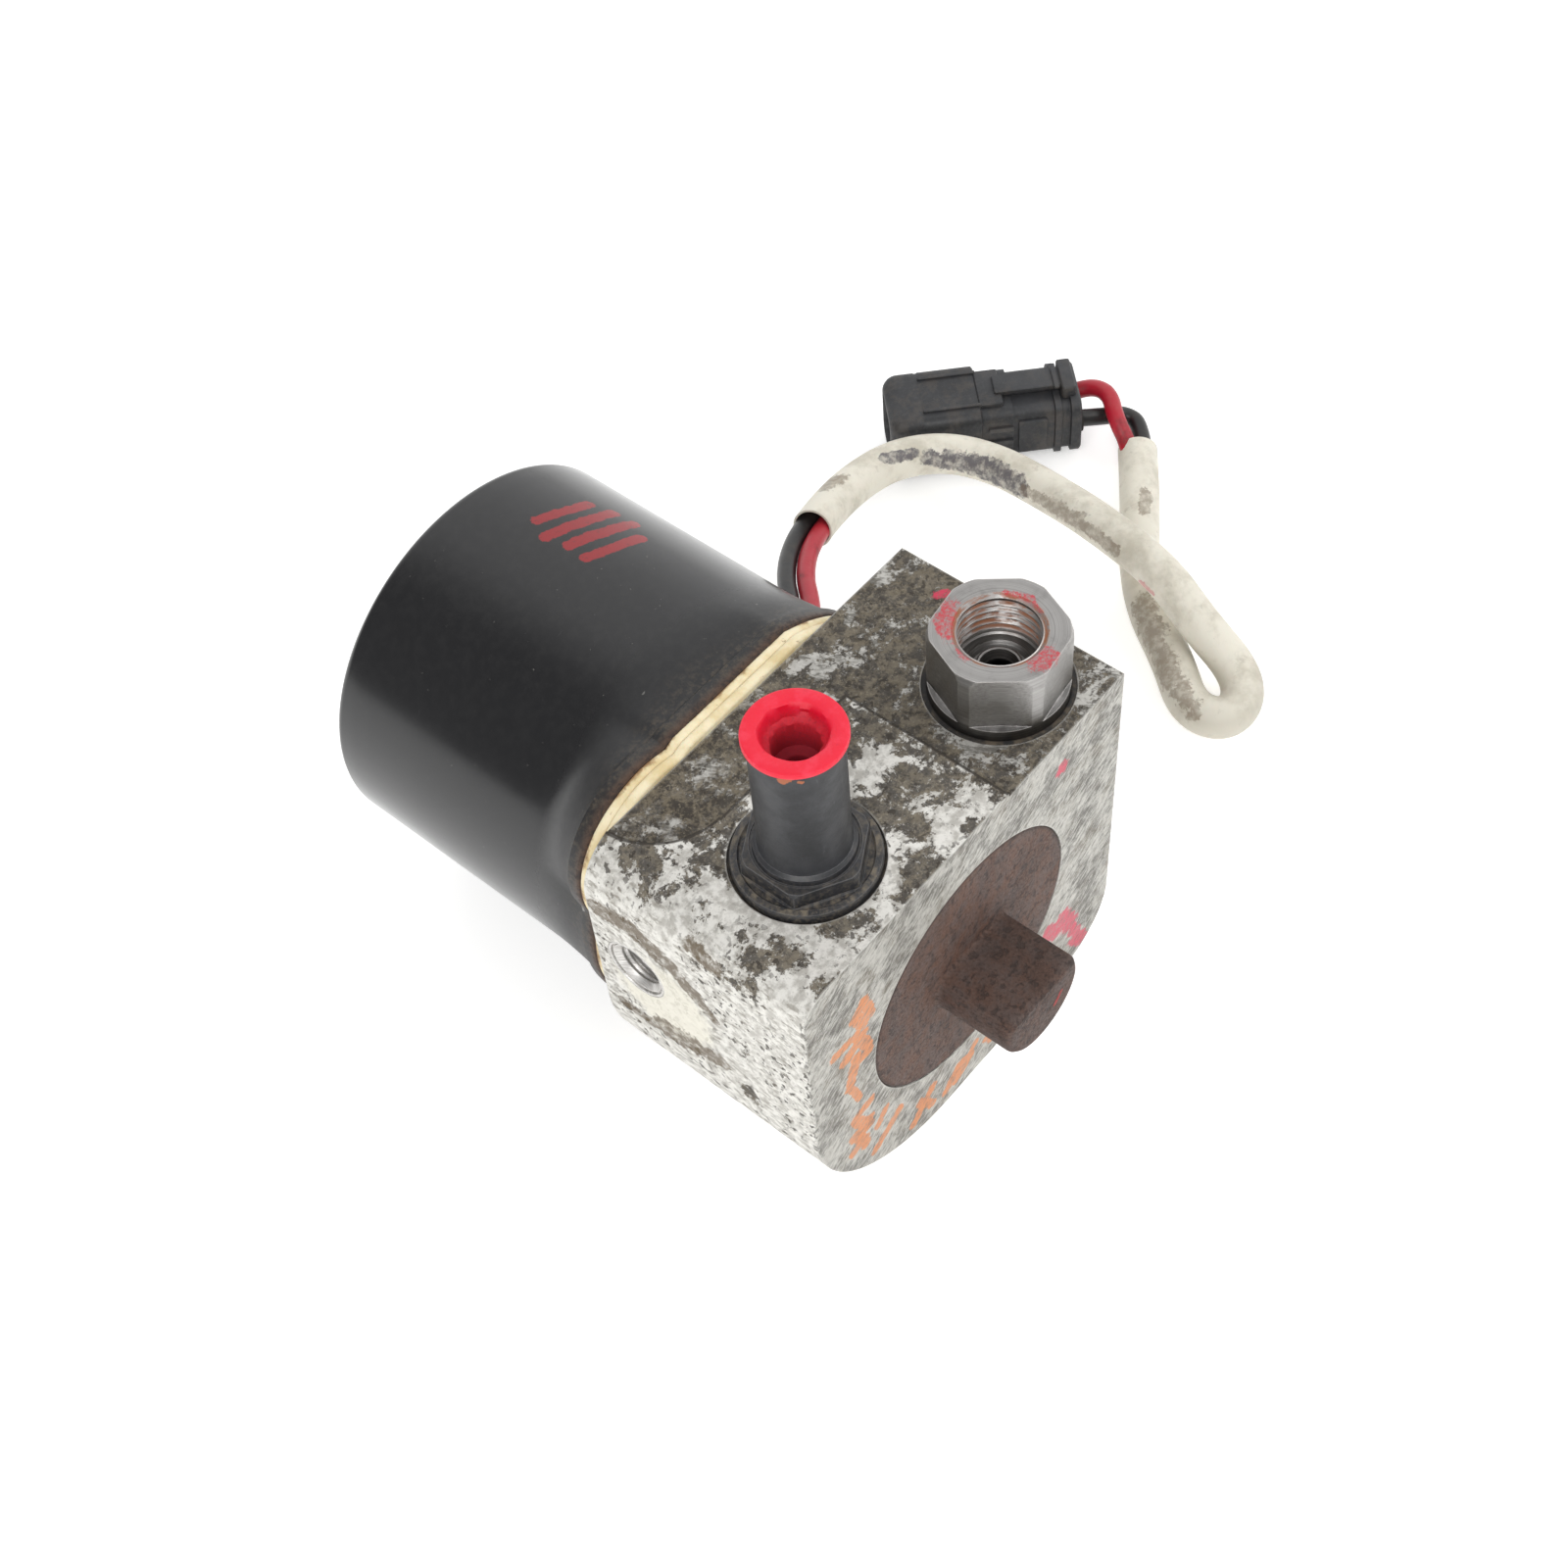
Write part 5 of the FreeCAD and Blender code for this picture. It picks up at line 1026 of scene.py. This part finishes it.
def makeSpindlePiece():
    s = spindleShape

    def stub(inset=0.0, grow=0.0):
        def radius(angle):
            high = math.sin(angle)
            round = s["stub"] - inset + grow
            cutAt = (s["flat"] - inset + grow) / high if high > 0.05 else 1e3
            blend = s["flatBlend"]
            reach = -math.log(math.exp(-round * blend) + math.exp(-min(cutAt, 60) * blend)) / blend
            return reach + 0.02 * noise.noise(Vector((angle * 9, inset, 0)))
        return radius

    tip, chamfer, disc, back = s["tip"], s["chamfer"], s["disc"], s["discThick"]
    journal, journalEnd, shaft, shaftEnd = s["journal"], s["journalEnd"], s["shaft"], s["shaftEnd"]
    rings = [(tip, stub(chamfer + 3.0)), (tip, stub(chamfer + 0.15)), (tip + 0.08, stub(chamfer - 0.1)),
             (tip + 0.35, stub(0.42)), (tip + 0.75, stub(0.1)), (tip + 1.3, stub(0.0))]
    steps = 14
    for index in range(1, steps):
        rings.append((tip + 1.3 + (-0.9 - tip - 1.3) * index / steps, stub(0.0)))
    rings += [(-0.9, stub(0.0)), (-0.45, stub(0.0, 0.12)), (-0.15, stub(0.0, 0.4)), (0.0, stub(0.0, 0.9))]
    rings += [(0.0, radius) for radius in (13, 16, 19, 22, 25, disc - 0.45)]
    rings += [(0.12, disc - 0.12), (0.45, disc), (back - 0.4, disc), (back, disc - 0.4), (back, journal),
              (journalEnd, journal), (journalEnd, shaft), (shaftEnd - 0.4, shaft), (shaftEnd, shaft - 0.4)]
    build = bmesh.new()
    turned(build, rings, 144, "Y")
    for vertex in build.verts:      # shallow pitting on the weathered part
        if -0.0149 < vertex.co.y < 0.0005:
            vertex.co += Vector((0, 1, 0)) * abs(noise.noise(vertex.co * s["pitScale"])) * s["pitDepth"]
    piece = finishMesh("spindleDiscAndStub", build, "spindle", ["output_spindle"])
    dress(piece, "rusty_steel")


# the can: flange outline at its mouth, sweeping into a round drawn shell
flangeShape = {"circle": 40.4, "top": 37.7, "ear": 18.0, "earLeft": (-22.4, 19.7), "earRight": (22.4, -22.4)}


def rayToCircle(angle, centre, radius):
    c, s = math.cos(angle), math.sin(angle)
    dot = c * centre[0] + s * centre[1]
    inside = dot * dot - (centre[0] ** 2 + centre[1] ** 2 - radius * radius)
    return dot + math.sqrt(inside) if inside > 0 else 0.0


def flangeRadius(angle, inset=0.0):
    s = flangeShape
    reach = s["circle"] - inset
    for centre in (s["earLeft"], s["earRight"]):
        reach = max(reach, rayToCircle(angle, centre, s["ear"] - inset))
    high = math.sin(angle)
    if high > 0.01:
        reach = min(reach, (s["top"] - inset) / high)
    return reach


canShape = {
    "mouth": 51.3, "lip": 54.9, "inset": 0.4, "sweepEnd": 68.0, "outer": 38.0, "inner": 36.4,
    "end": 119.0, "rimRound": 2.0, "wall": 1.6, "sides": 180,
}


def makeCanPiece():
    s = canShape
    mouth, lip, edge, outer = s["mouth"], s["lip"], s["inset"], s["outer"]
    end, bore, rimRound, back = s["end"], s["inner"], s["rimRound"], s["end"] - s["wall"]

    def blended(amount, inset, round):
        return lambda angle: round + (flangeRadius(angle, inset) - round) * amount

    def flange(drop):
        return blended(1, edge + drop, outer)

    rings = [(mouth, flange(1.3)), (mouth + 0.05, flange(0.35)), (mouth + 0.4, flange(0)),
             (lip - 1.5, flange(0)), (lip - 0.5, flange(0.15)), (lip, flange(0.8))]
    steps = 14
    for index in range(1, steps + 1):
        t = index / steps
        along = lip + (s["sweepEnd"] - lip) * t
        rings.append((along, blended((1 - t) ** 2 * (1 + 0.6 * t), edge + 0.9, outer)))
    rings += [(along, outer) for along in (75, 82, 89, 96, 103, 109, 113.5)]
    for index in range(9):
        turn = math.pi / 2 * index / 8
        rings.append((end - rimRound * (1 - math.sin(turn)), outer - rimRound * (1 - math.cos(turn))))
    rings += [(end, 27), (end, 20.2), (end - 0.5, 19.4), (end - 0.5, 17.4), (end, 16.6), (end, 9.0),
              (end - 0.25, 8.6), (end - 0.25, 0.5), (back, 0.5), (back, bore - 4.0)]
    for index in range(6):
        turn = math.pi / 2 * (1 - index / 5)
        rings.append((back - 4 * (1 - math.sin(turn)), bore - 4 * (1 - math.cos(turn))))
    rings += [(along, bore) for along in (100, 80, 66)]
    rings += [(60.0, blended(0.35, 2.0, bore)), (lip, blended(1, 2.0, bore)), (mouth, blended(1, 2.0, bore))]
    turnedPiece("motorCanShell", "motor_can", "black_paint", 28, rings, s["sides"], "Y")


gasketShape = {"hole": 26.9, "sides": 220, "wave": 0.32}


def makeGasketPiece(name, node, low, high, inset, seed):
    s = gasketShape

    def outline(extra):
        def radius(angle):
            spot = Vector((math.cos(angle), math.sin(angle), seed)) * 2.6
            ripple = noise.noise(spot) * s["wave"] + noise.noise(spot * 4) * s["wave"] * 0.35
            return flangeRadius(angle, inset + extra) + min(ripple, 0.0 if inset == 0 else 0.3)
        return radius

    hole, thick = s["hole"], high - low
    rings = [(low, hole), (low, outline(0.5)), (low + thick * 0.06, outline(0.2)),
             (low + thick * 0.22, outline(0.02)), (low + thick * 0.5, outline(-0.02 if inset else 0.0)),
             (high - thick * 0.22, outline(0.02)), (high - thick * 0.06, outline(0.2)),
             (high, outline(0.5)), (high, hole)]
    turnedPiece(name, node, "cream_rubber", 50, rings, s["sides"], "Y")


# ports on the block's top
adaptorShape = {
    "centre": (27.8, 15.4), "foot": 21.0, "spigot": 9.0, "collar": 12.1, "collarLow": 35.3, "collarTop": 38.9,
    "hexFlats": 22.0, "hexTurn": 8.0, "top": 50.4, "minor": 7.1, "major": 7.75, "pitch": 1.5, "bore": 2.8,
    "floor": 40.9,
}


def makeAdaptorPiece():
    s = adaptorShape
    foot, spigot, low, shoulder = s["foot"], s["spigot"], s["collarLow"], s["collarTop"]
    round, top, minor, major, floor = s["collar"], s["top"], s["minor"], s["major"], s["floor"]
    flat = hexRadius(s["hexFlats"], s["hexTurn"])

    def hexAt(drop):
        return lambda angle: min(flat(angle), round - drop)

    def coneAt(drop):
        return lambda angle: max(round - drop, hexAt(0.0)(angle))

    rings = [(foot, spigot - 0.4), (foot + 0.4, spigot), (low, spigot), (low, round - 0.35),
             (low + 0.35, round), (shoulder - 0.2, round)]
    for index in range(1, 9):      # the collar's top is turned to a shallow cone that the flats cut into
        rings.append((shoulder - 0.2 + 0.35 * index / 8, coneAt(1.15 * index / 8)))
    rings += [(shoulder + 0.3, hexAt(0.0)), (top - 1.5, hexAt(0.0))]
    for index in range(1, 7):
        rings.append((top - 1.5 + 1.45 * index / 6, hexAt(0.42 * index / 6)))
    rings += [(top, hexAt(0.5)), (top, major + 0.3), (top - 0.12, major + 0.15), (top - 0.6, minor + 0.2)]
    rings += threadRings(top - 0.5, floor + 0.9, minor, major - minor, s["pitch"], 0.125)
    rings += [(floor + 0.8, minor + 0.3), (floor + 0.3, minor + 0.3), (floor, minor), (floor, 6.0),
              (floor + 0.1, 5.7), (floor - 0.9, 4.9), (floor - 1.0, 4.3), (floor + 0.5, 4.0),
              (floor + 0.6, 3.7), (floor + 0.5, 3.4), (floor - 0.8, 3.0), (floor - 1.2, s["bore"]),
              (foot, s["bore"])]
    turnedPiece("portAdaptorTurned", "port_adaptor", "bright_steel", 18, rings, 144, "Z", s["centre"],
                s["hexTurn"], finish="adaptor")


stubShape = {
    "centre": (-19.3, 18.1), "foot": 23.0, "tube": 7.6, "bore": 5.9, "top": 68.8, "flange": 12.4,
    "flangeLow": 36.1, "flangeTop": 38.7, "hexFlats": 19.0, "hexTurn": 30.0, "hexRound": 10.95,
    "hexTop": 41.7,
}


def makeStubPiece():
    s = stubShape
    foot, tube, low, flange = s["foot"], s["tube"], s["flangeLow"], s["flange"]
    ledge, hexTop, top = s["flangeTop"], s["hexTop"], s["top"]
    flat = hexRadius(s["hexFlats"], s["hexTurn"])

    def hexAt(drop, grow=0):
        return lambda angle: min(flat(angle), s["hexRound"] - drop) + grow

    rings = [(foot, tube - 0.4), (foot + 0.4, tube), (low, tube), (low, flange - 0.5), (low + 0.5, flange),
             (ledge - 0.6, flange), (ledge - 0.15, flange - 0.2), (ledge, flange - 0.7),
             (ledge, flange - 1.25), (ledge - 0.35, flange - 1.6), (ledge - 0.45, 11.0),
             (ledge - 0.45, hexAt(0.0, 0.25)), (ledge - 0.2, hexAt(0.0)), (hexTop - 0.7, hexAt(0.0))]
    for index in range(1, 6):
        rings.append((hexTop - 0.7 + 0.66 * index / 5, hexAt(0.55 * index / 5)))
    rings += [(hexTop, 9.0), (hexTop - 0.25, 8.9), (hexTop - 0.3, 8.6), (hexTop + 0.1, 8.45),
              (hexTop + 0.8, 8.4), (hexTop + 1.0, 8.2), (hexTop + 1.3, tube + 0.15), (hexTop + 2.2, tube)]
    rings += [(along, tube - 0.03) for along in (50, 55, 60, 64)]
    rings += [(top - 0.5, tube), (top - 0.12, tube - 0.12), (top, tube - 0.5), (top, s["bore"]),
              (foot, s["bore"])]
    turnedPiece("hoseStubMoulded", "hose_stub", "black_plastic", 22, rings, 120, "Z", s["centre"],
                s["hexTurn"], finish="hoseStub")


capShape = {"rim": 8.3, "rimLow": 68.8, "top": 70.0, "plug": 5.87, "foot": 55.0}


def makeCapPiece():
    s = capShape
    foot, plug, low, rim, top = s["foot"], s["plug"], s["rimLow"], s["rim"], s["top"]

    def rough(size, lumps, amount, seed):
        def radius(angle):
            spot = Vector((math.cos(angle), math.sin(angle), seed)) * lumps
            return size + noise.noise(spot) * amount
        return radius

    rings = [(foot, plug - 0.6), (foot + 0.6, plug), (low, plug), (low, rim - 0.3), (low + 0.25, rim),
             (top - 0.35, rim), (top - 0.1, rim - 0.12), (top, rim - 0.42), (top - 0.02, 7.0),
             (top - 0.05, rough(5.75, 1.4, 0.22, 1)), (top - 0.28, rough(5.4, 1.8, 0.28, 1)),
             (top - 0.9, rough(5.15, 2.2, 0.3, 2)), (top - 1.9, rough(5.0, 2.6, 0.32, 3)),
             (top - 2.6, rough(4.75, 3.2, 0.42, 4)), (top - 2.9, rough(4.25, 3.6, 0.5, 4)),
             (top - 3.3, rough(3.95, 3.0, 0.36, 5)), (top - 5.5, rough(3.9, 2.0, 0.15, 5)),
             (top - 8.5, 3.85), (top - 8.7, 3.3), (top - 8.9, 2.4), (top - 9.0, 2.3), (top - 9.5, 2.2),
             (57.0, 2.0)]
    turnedPiece("transitCapMoulded", "transit_cap", "red_plastic", 40, rings, 120, "Z",
                stubShape["centre"], loop=False)


insertShape = {"outer": 6.3, "face": 42.2, "inner": 31.2, "centre": (38.2, 12.4), "minor": 4.25, "major": 5.0,
               "pitch": 1.25}


def makeInsertPiece(name, node, side):
    s = insertShape
    outer, minor = s["outer"], s["minor"]
    threaded = threadRings(1.3, 10.4, minor, s["major"] - minor, s["pitch"], 0.13)
    profile = [(11.0, outer - 0.3), (10.7, outer), (0.12, outer), (0.0, outer - 0.15), (0.0, 5.85),
               (0.12, 5.75), (0.55, 5.7), (0.62, 5.6), (0.62, 5.45), (0.3, 5.35), (0.3, 5.2),
               (0.45, 5.05), (1.2, minor + 0.05)]
    rings = [(side * (s["face"] - depth), radius) for depth, radius in profile + threaded]
    rings.append((side * s["inner"], minor))
    turnedPiece(name, node, "bright_steel", 24, rings, 96, "X", s["centre"])


makeSpindlePiece()
makeCanPiece()
makeGasketPiece("gasketBlockSide", "gasket_block_side", 47.3, 49.3, 0.0, 1.3)
makeGasketPiece("gasketMotorSide", "gasket_motor_side", 49.3, 51.3, 0.35, 4.7)
makeAdaptorPiece()
makeStubPiece()
makeCapPiece()
makeInsertPiece("sideInsertLeft", "insert_left", -1)
makeInsertPiece("sideInsertRight", "insert_right", 1)
print("turned pieces made")


# the leads in their sleeve
def makeLead(name, node, points, slot):
    piece = routeCurve(name, points, cordSetup["leadRadius"])
    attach(piece, "housing")
    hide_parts(node)
    dress(piece, slot)
    return piece


redLead = makeLead("leadRedWire", "lead_red", besideRoute(1) + redTail, "red_lead")
blackLead = makeLead("leadBlackWire", "lead_black", besideRoute(-1)[:-1] + blackTail, "black_lead")


def makeSleevePiece():
    s = cordSetup
    start = tuple((a + b) / 2 for a, b in zip(pairRoute[4], pairRoute[5]))
    path = splinePoints([start] + pairRoute[5:])
    outer = s["sleeveOuter"] * millimetre
    inner = (s["sleeveOuter"] - s["sleeveWall"]) * millimetre
    sides = s["sleeveSides"]
    build = bmesh.new()
    side = None
    rows = []
    for index, here in enumerate(path):
        ahead = (path[min(index + 1, len(path) - 1)] - path[max(index - 1, 0)]).normalized()
        if side is None:
            side = ahead.cross(Vector((0, 0, 1))).normalized()
        side = (side - ahead * side.dot(ahead)).normalized()
        up = side.cross(ahead)
        soft = 1 + noise.noise(here * s["sleeveWaveScale"]) * s["sleeveWave"]
        ring = []
        for radius in (outer, inner):
            wide = radius * soft
            tall = radius * (2 - soft)
            turns = [2 * math.pi * step / sides for step in range(sides)]
            spots = [here + side * math.cos(turn) * wide + up * math.sin(turn) * tall for turn in turns]
            ring.append([build.verts.new(spot) for spot in spots])
        rows.append(ring)
    for layer in (0, 1):
        for low, high in zip(rows, rows[1:]):
            for step in range(sides):
                after = (step + 1) % sides
                build.faces.new((low[layer][step], low[layer][after], high[layer][after], high[layer][step]))
    for ring in (rows[0], rows[-1]):
        for step in range(sides):
            after = (step + 1) % sides
            build.faces.new((ring[0][step], ring[0][after], ring[1][after], ring[1][step]))
    piece = finishMesh("leadSleeveTube", build, "housing", ["lead_sleeve"], 40)
    return dress(piece, "cream_sleeve")


sleevePiece = makeSleevePiece()

# the two-way plug lies on its flat side, turned away from the can
plugShape = {
    "spot": (131.7, 97.4, -40.4), "yaw": -43.9, "half": 21.5, "wide": 18.0, "tall": 17.0, "corner": 2.4,
    "shroudEnd": -1.0, "rearStart": 6.0, "cavityWide": 12.0, "cavityTall": 10.6, "cavityDepth": 15.4,
}


def onPlug(spot):
    s = plugShape
    yaw = math.radians(s["yaw"])
    along = Vector((math.cos(yaw), math.sin(yaw), 0))
    across = Vector((-math.sin(yaw), math.cos(yaw), 0))
    return Vector(s["spot"]) + along * spot[0] + across * spot[1] + Vector((0, 0, spot[2]))


def makePlugPieces():
    s = plugShape
    wide, tall, middle = s["wide"] / 2, s["tall"] / 2, s["tall"] / 2
    front = -s["half"]

    def outer(inset, corner=None):
        return boxRadius(wide - inset, tall - inset, corner or s["corner"])

    def hollow(extra):
        return boxRadius(s["cavityWide"] / 2 + extra, s["cavityTall"] / 2 + extra, 2.2)

    floorAt = front + s["cavityDepth"]
    back, step, rear = s["shroudEnd"], s["rearStart"], s["half"]
    rings = [(step, 0.8), (step, outer(0.9, 3.0)), (back + 0.6, outer(0.9, 3.0)),
             (back + 0.1, outer(0.75, 3.4)), (back, outer(0.35)), (back - 0.35, outer(0.0)),
             (front + 8.0, outer(0.0)), (front + 7.7, outer(0.12)), (front + 7.3, outer(0.12)),
             (front + 7.0, outer(0.0)), (front + 3.2, outer(0.0)), (front + 2.2, outer(0.12)),
             (front + 1.3, outer(0.45)), (front + 0.6, outer(0.95)), (front + 0.15, outer(1.45)),
             (front, outer(1.8)), (front, hollow(0.5)), (front + 0.5, hollow(0.1)),
             (front + 1.2, hollow(0.0)), (floorAt, hollow(0.0)), (floorAt, hollow(-1.2)),
             (floorAt - 0.6, hollow(-1.5)), (floorAt - 0.6, 0.8)]
    build = bmesh.new()
    turned(build, rings, 128, "X", (0, middle), lay=onPlug)
    # a catch block at the shroud's back edge, then ribs on its sides and top
    softBox(build, (5.4, 11.0, 2.0), (1.4, 0, s["tall"] - 0.6), 0.5, onPlug)
    for level in (4.2, 8.0, 11.8):
        for side in (-1, 1):
            softBox(build, (5.6, 1.0, 1.1), (3.2, side * (wide - 0.75), level), 0.3, onPlug)
    for side in (-1, 1):
        softBox(build, (13.0, 0.9, 1.2), (front + 14.2, side * 5.2, s["tall"]), 0.3, onPlug)
    shell = dress(finishMesh("plugShroud", build, "housing", ["plug_shell"], 34), "plug")

    rings = [(step, 0.8), (step, outer(1.6, 2.4)), (rear - 6.2, outer(1.6, 2.4)),
             (rear - 6.0, outer(1.0, 2.6)), (rear - 4.6, outer(1.0, 2.6)), (rear - 4.4, outer(1.7, 2.4)),
             (rear - 2.6, outer(1.7, 2.4)), (rear - 2.4, outer(0.9, 3.0)), (rear - 0.5, outer(0.9, 3.0)),
             (rear - 0.1, outer(1.2, 3.0)), (rear, outer(1.7, 3.0)), (rear, 0.8)]
    build = bmesh.new()
    turned(build, rings, 128, "X", (0, middle), lay=onPlug)
    for side in (-1, 1):
        softBox(build, (6.4, 0.9, 9.0), (step + 4.4, side * (wide - 1.25), middle), 0.3, onPlug)
    housing = finishMesh("plugRearHousing", build, "housing", ["plug_rear_body"], 34)
    dress(housing, "plug")

    build = bmesh.new()
    softBox(build, (15.5, 5.6, 1.5), (10.2, 0, s["tall"] + 0.35), 0.45, onPlug)
    softBox(build, (3.2, 9.6, 3.6), (rear - 2.6, 0, s["tall"]), 0.8, onPlug)
    softBox(build, (1.2, 7.6, 0.8), (rear - 5.2, 0, s["tall"] + 1.2), 0.3, onPlug)
    latch = dress(finishMesh("plugThumbLatch", build, "housing", ["plug_latch"], 34), "plug")
    return shell, housing, latch


plugShroud, plugRear, plugLatch = makePlugPieces()
print("plug made")

# a pale table in a dim room with a bright side, and two broad soft lights at the front
stageSettings = {
    "floor": tone(246, 246, 245),
    "floorGlow": 0.42,
    "roomDim": 0.34,
    "roomBright": 1.15,
    "brightSide": (0.86, 0.38, 0.34),
    "floorReach": 20,     # metres each way
    "aim": (0.02, 0.04, 0),
    "lights": (("keyLight", (-0.95, -0.42, 1.10), 13.6, 0.9), ("fillLight", (0.75, -0.95, 1.15), 6.8, 1.1)),
}


def makeStage():
    s = stageSettings
    floorHeight = plugShape["spot"][2] * millimetre
    build = bmesh.new()
    reach = s["floorReach"]
    corners = ((-reach, -reach), (reach, -reach), (reach, reach), (-reach, reach))
    build.faces.new([build.verts.new((x, y, floorHeight)) for x, y in corners])
    mesh = bpy.data.meshes.new("paleFloor")
    build.to_mesh(mesh)
    build.free()
    floor = bpy.data.objects.new("paleFloor", mesh)
    bpy.context.scene.collection.objects.link(floor)
    glow = {"Roughness": 0.9, "Emission_Strength": s["floorGlow"]}
    material, tree, shader = beginFinish("paleFloorFinish", **glow)[:3]
    shader.inputs["Emission Color"].default_value = (1, 1, 1, 1)
    wire(tree, shader, s["floor"])
    floor.data.materials.append(material)
    world = bpy.data.worlds.new("softSurround")
    world.use_nodes = True
    sky = world.node_tree
    heading = addNode(sky, "TexCoord").outputs["Generated"]
    side = calcVector(sky, "DOT_PRODUCT", heading, Vector(s["brightSide"]).normalized(), output="Value")
    strength = ramp(sky, side, 0.15, 0.75, s["roomDim"], s["roomBright"])
    sky.links.new(strength, sky.nodes["Background"].inputs["Strength"])
    sky.nodes["Background"].inputs["Color"].default_value = (1, 1, 1, 1)
    bpy.context.scene.world = world
    for name, spotAt, power, size in s["lights"]:
        data = bpy.data.lights.new(name, "AREA")
        data.energy = power
        data.size = size
        light = bpy.data.objects.new(name, data)
        light.location = spotAt
        light.rotation_euler = (Vector(s["aim"]) - Vector(spotAt)).to_track_quat("-Z", "Y").to_euler()
        bpy.context.scene.collection.objects.link(light)


makeStage()
bpy.context.scene.view_settings.view_transform = "Standard"
bpy.context.view_layer.update()
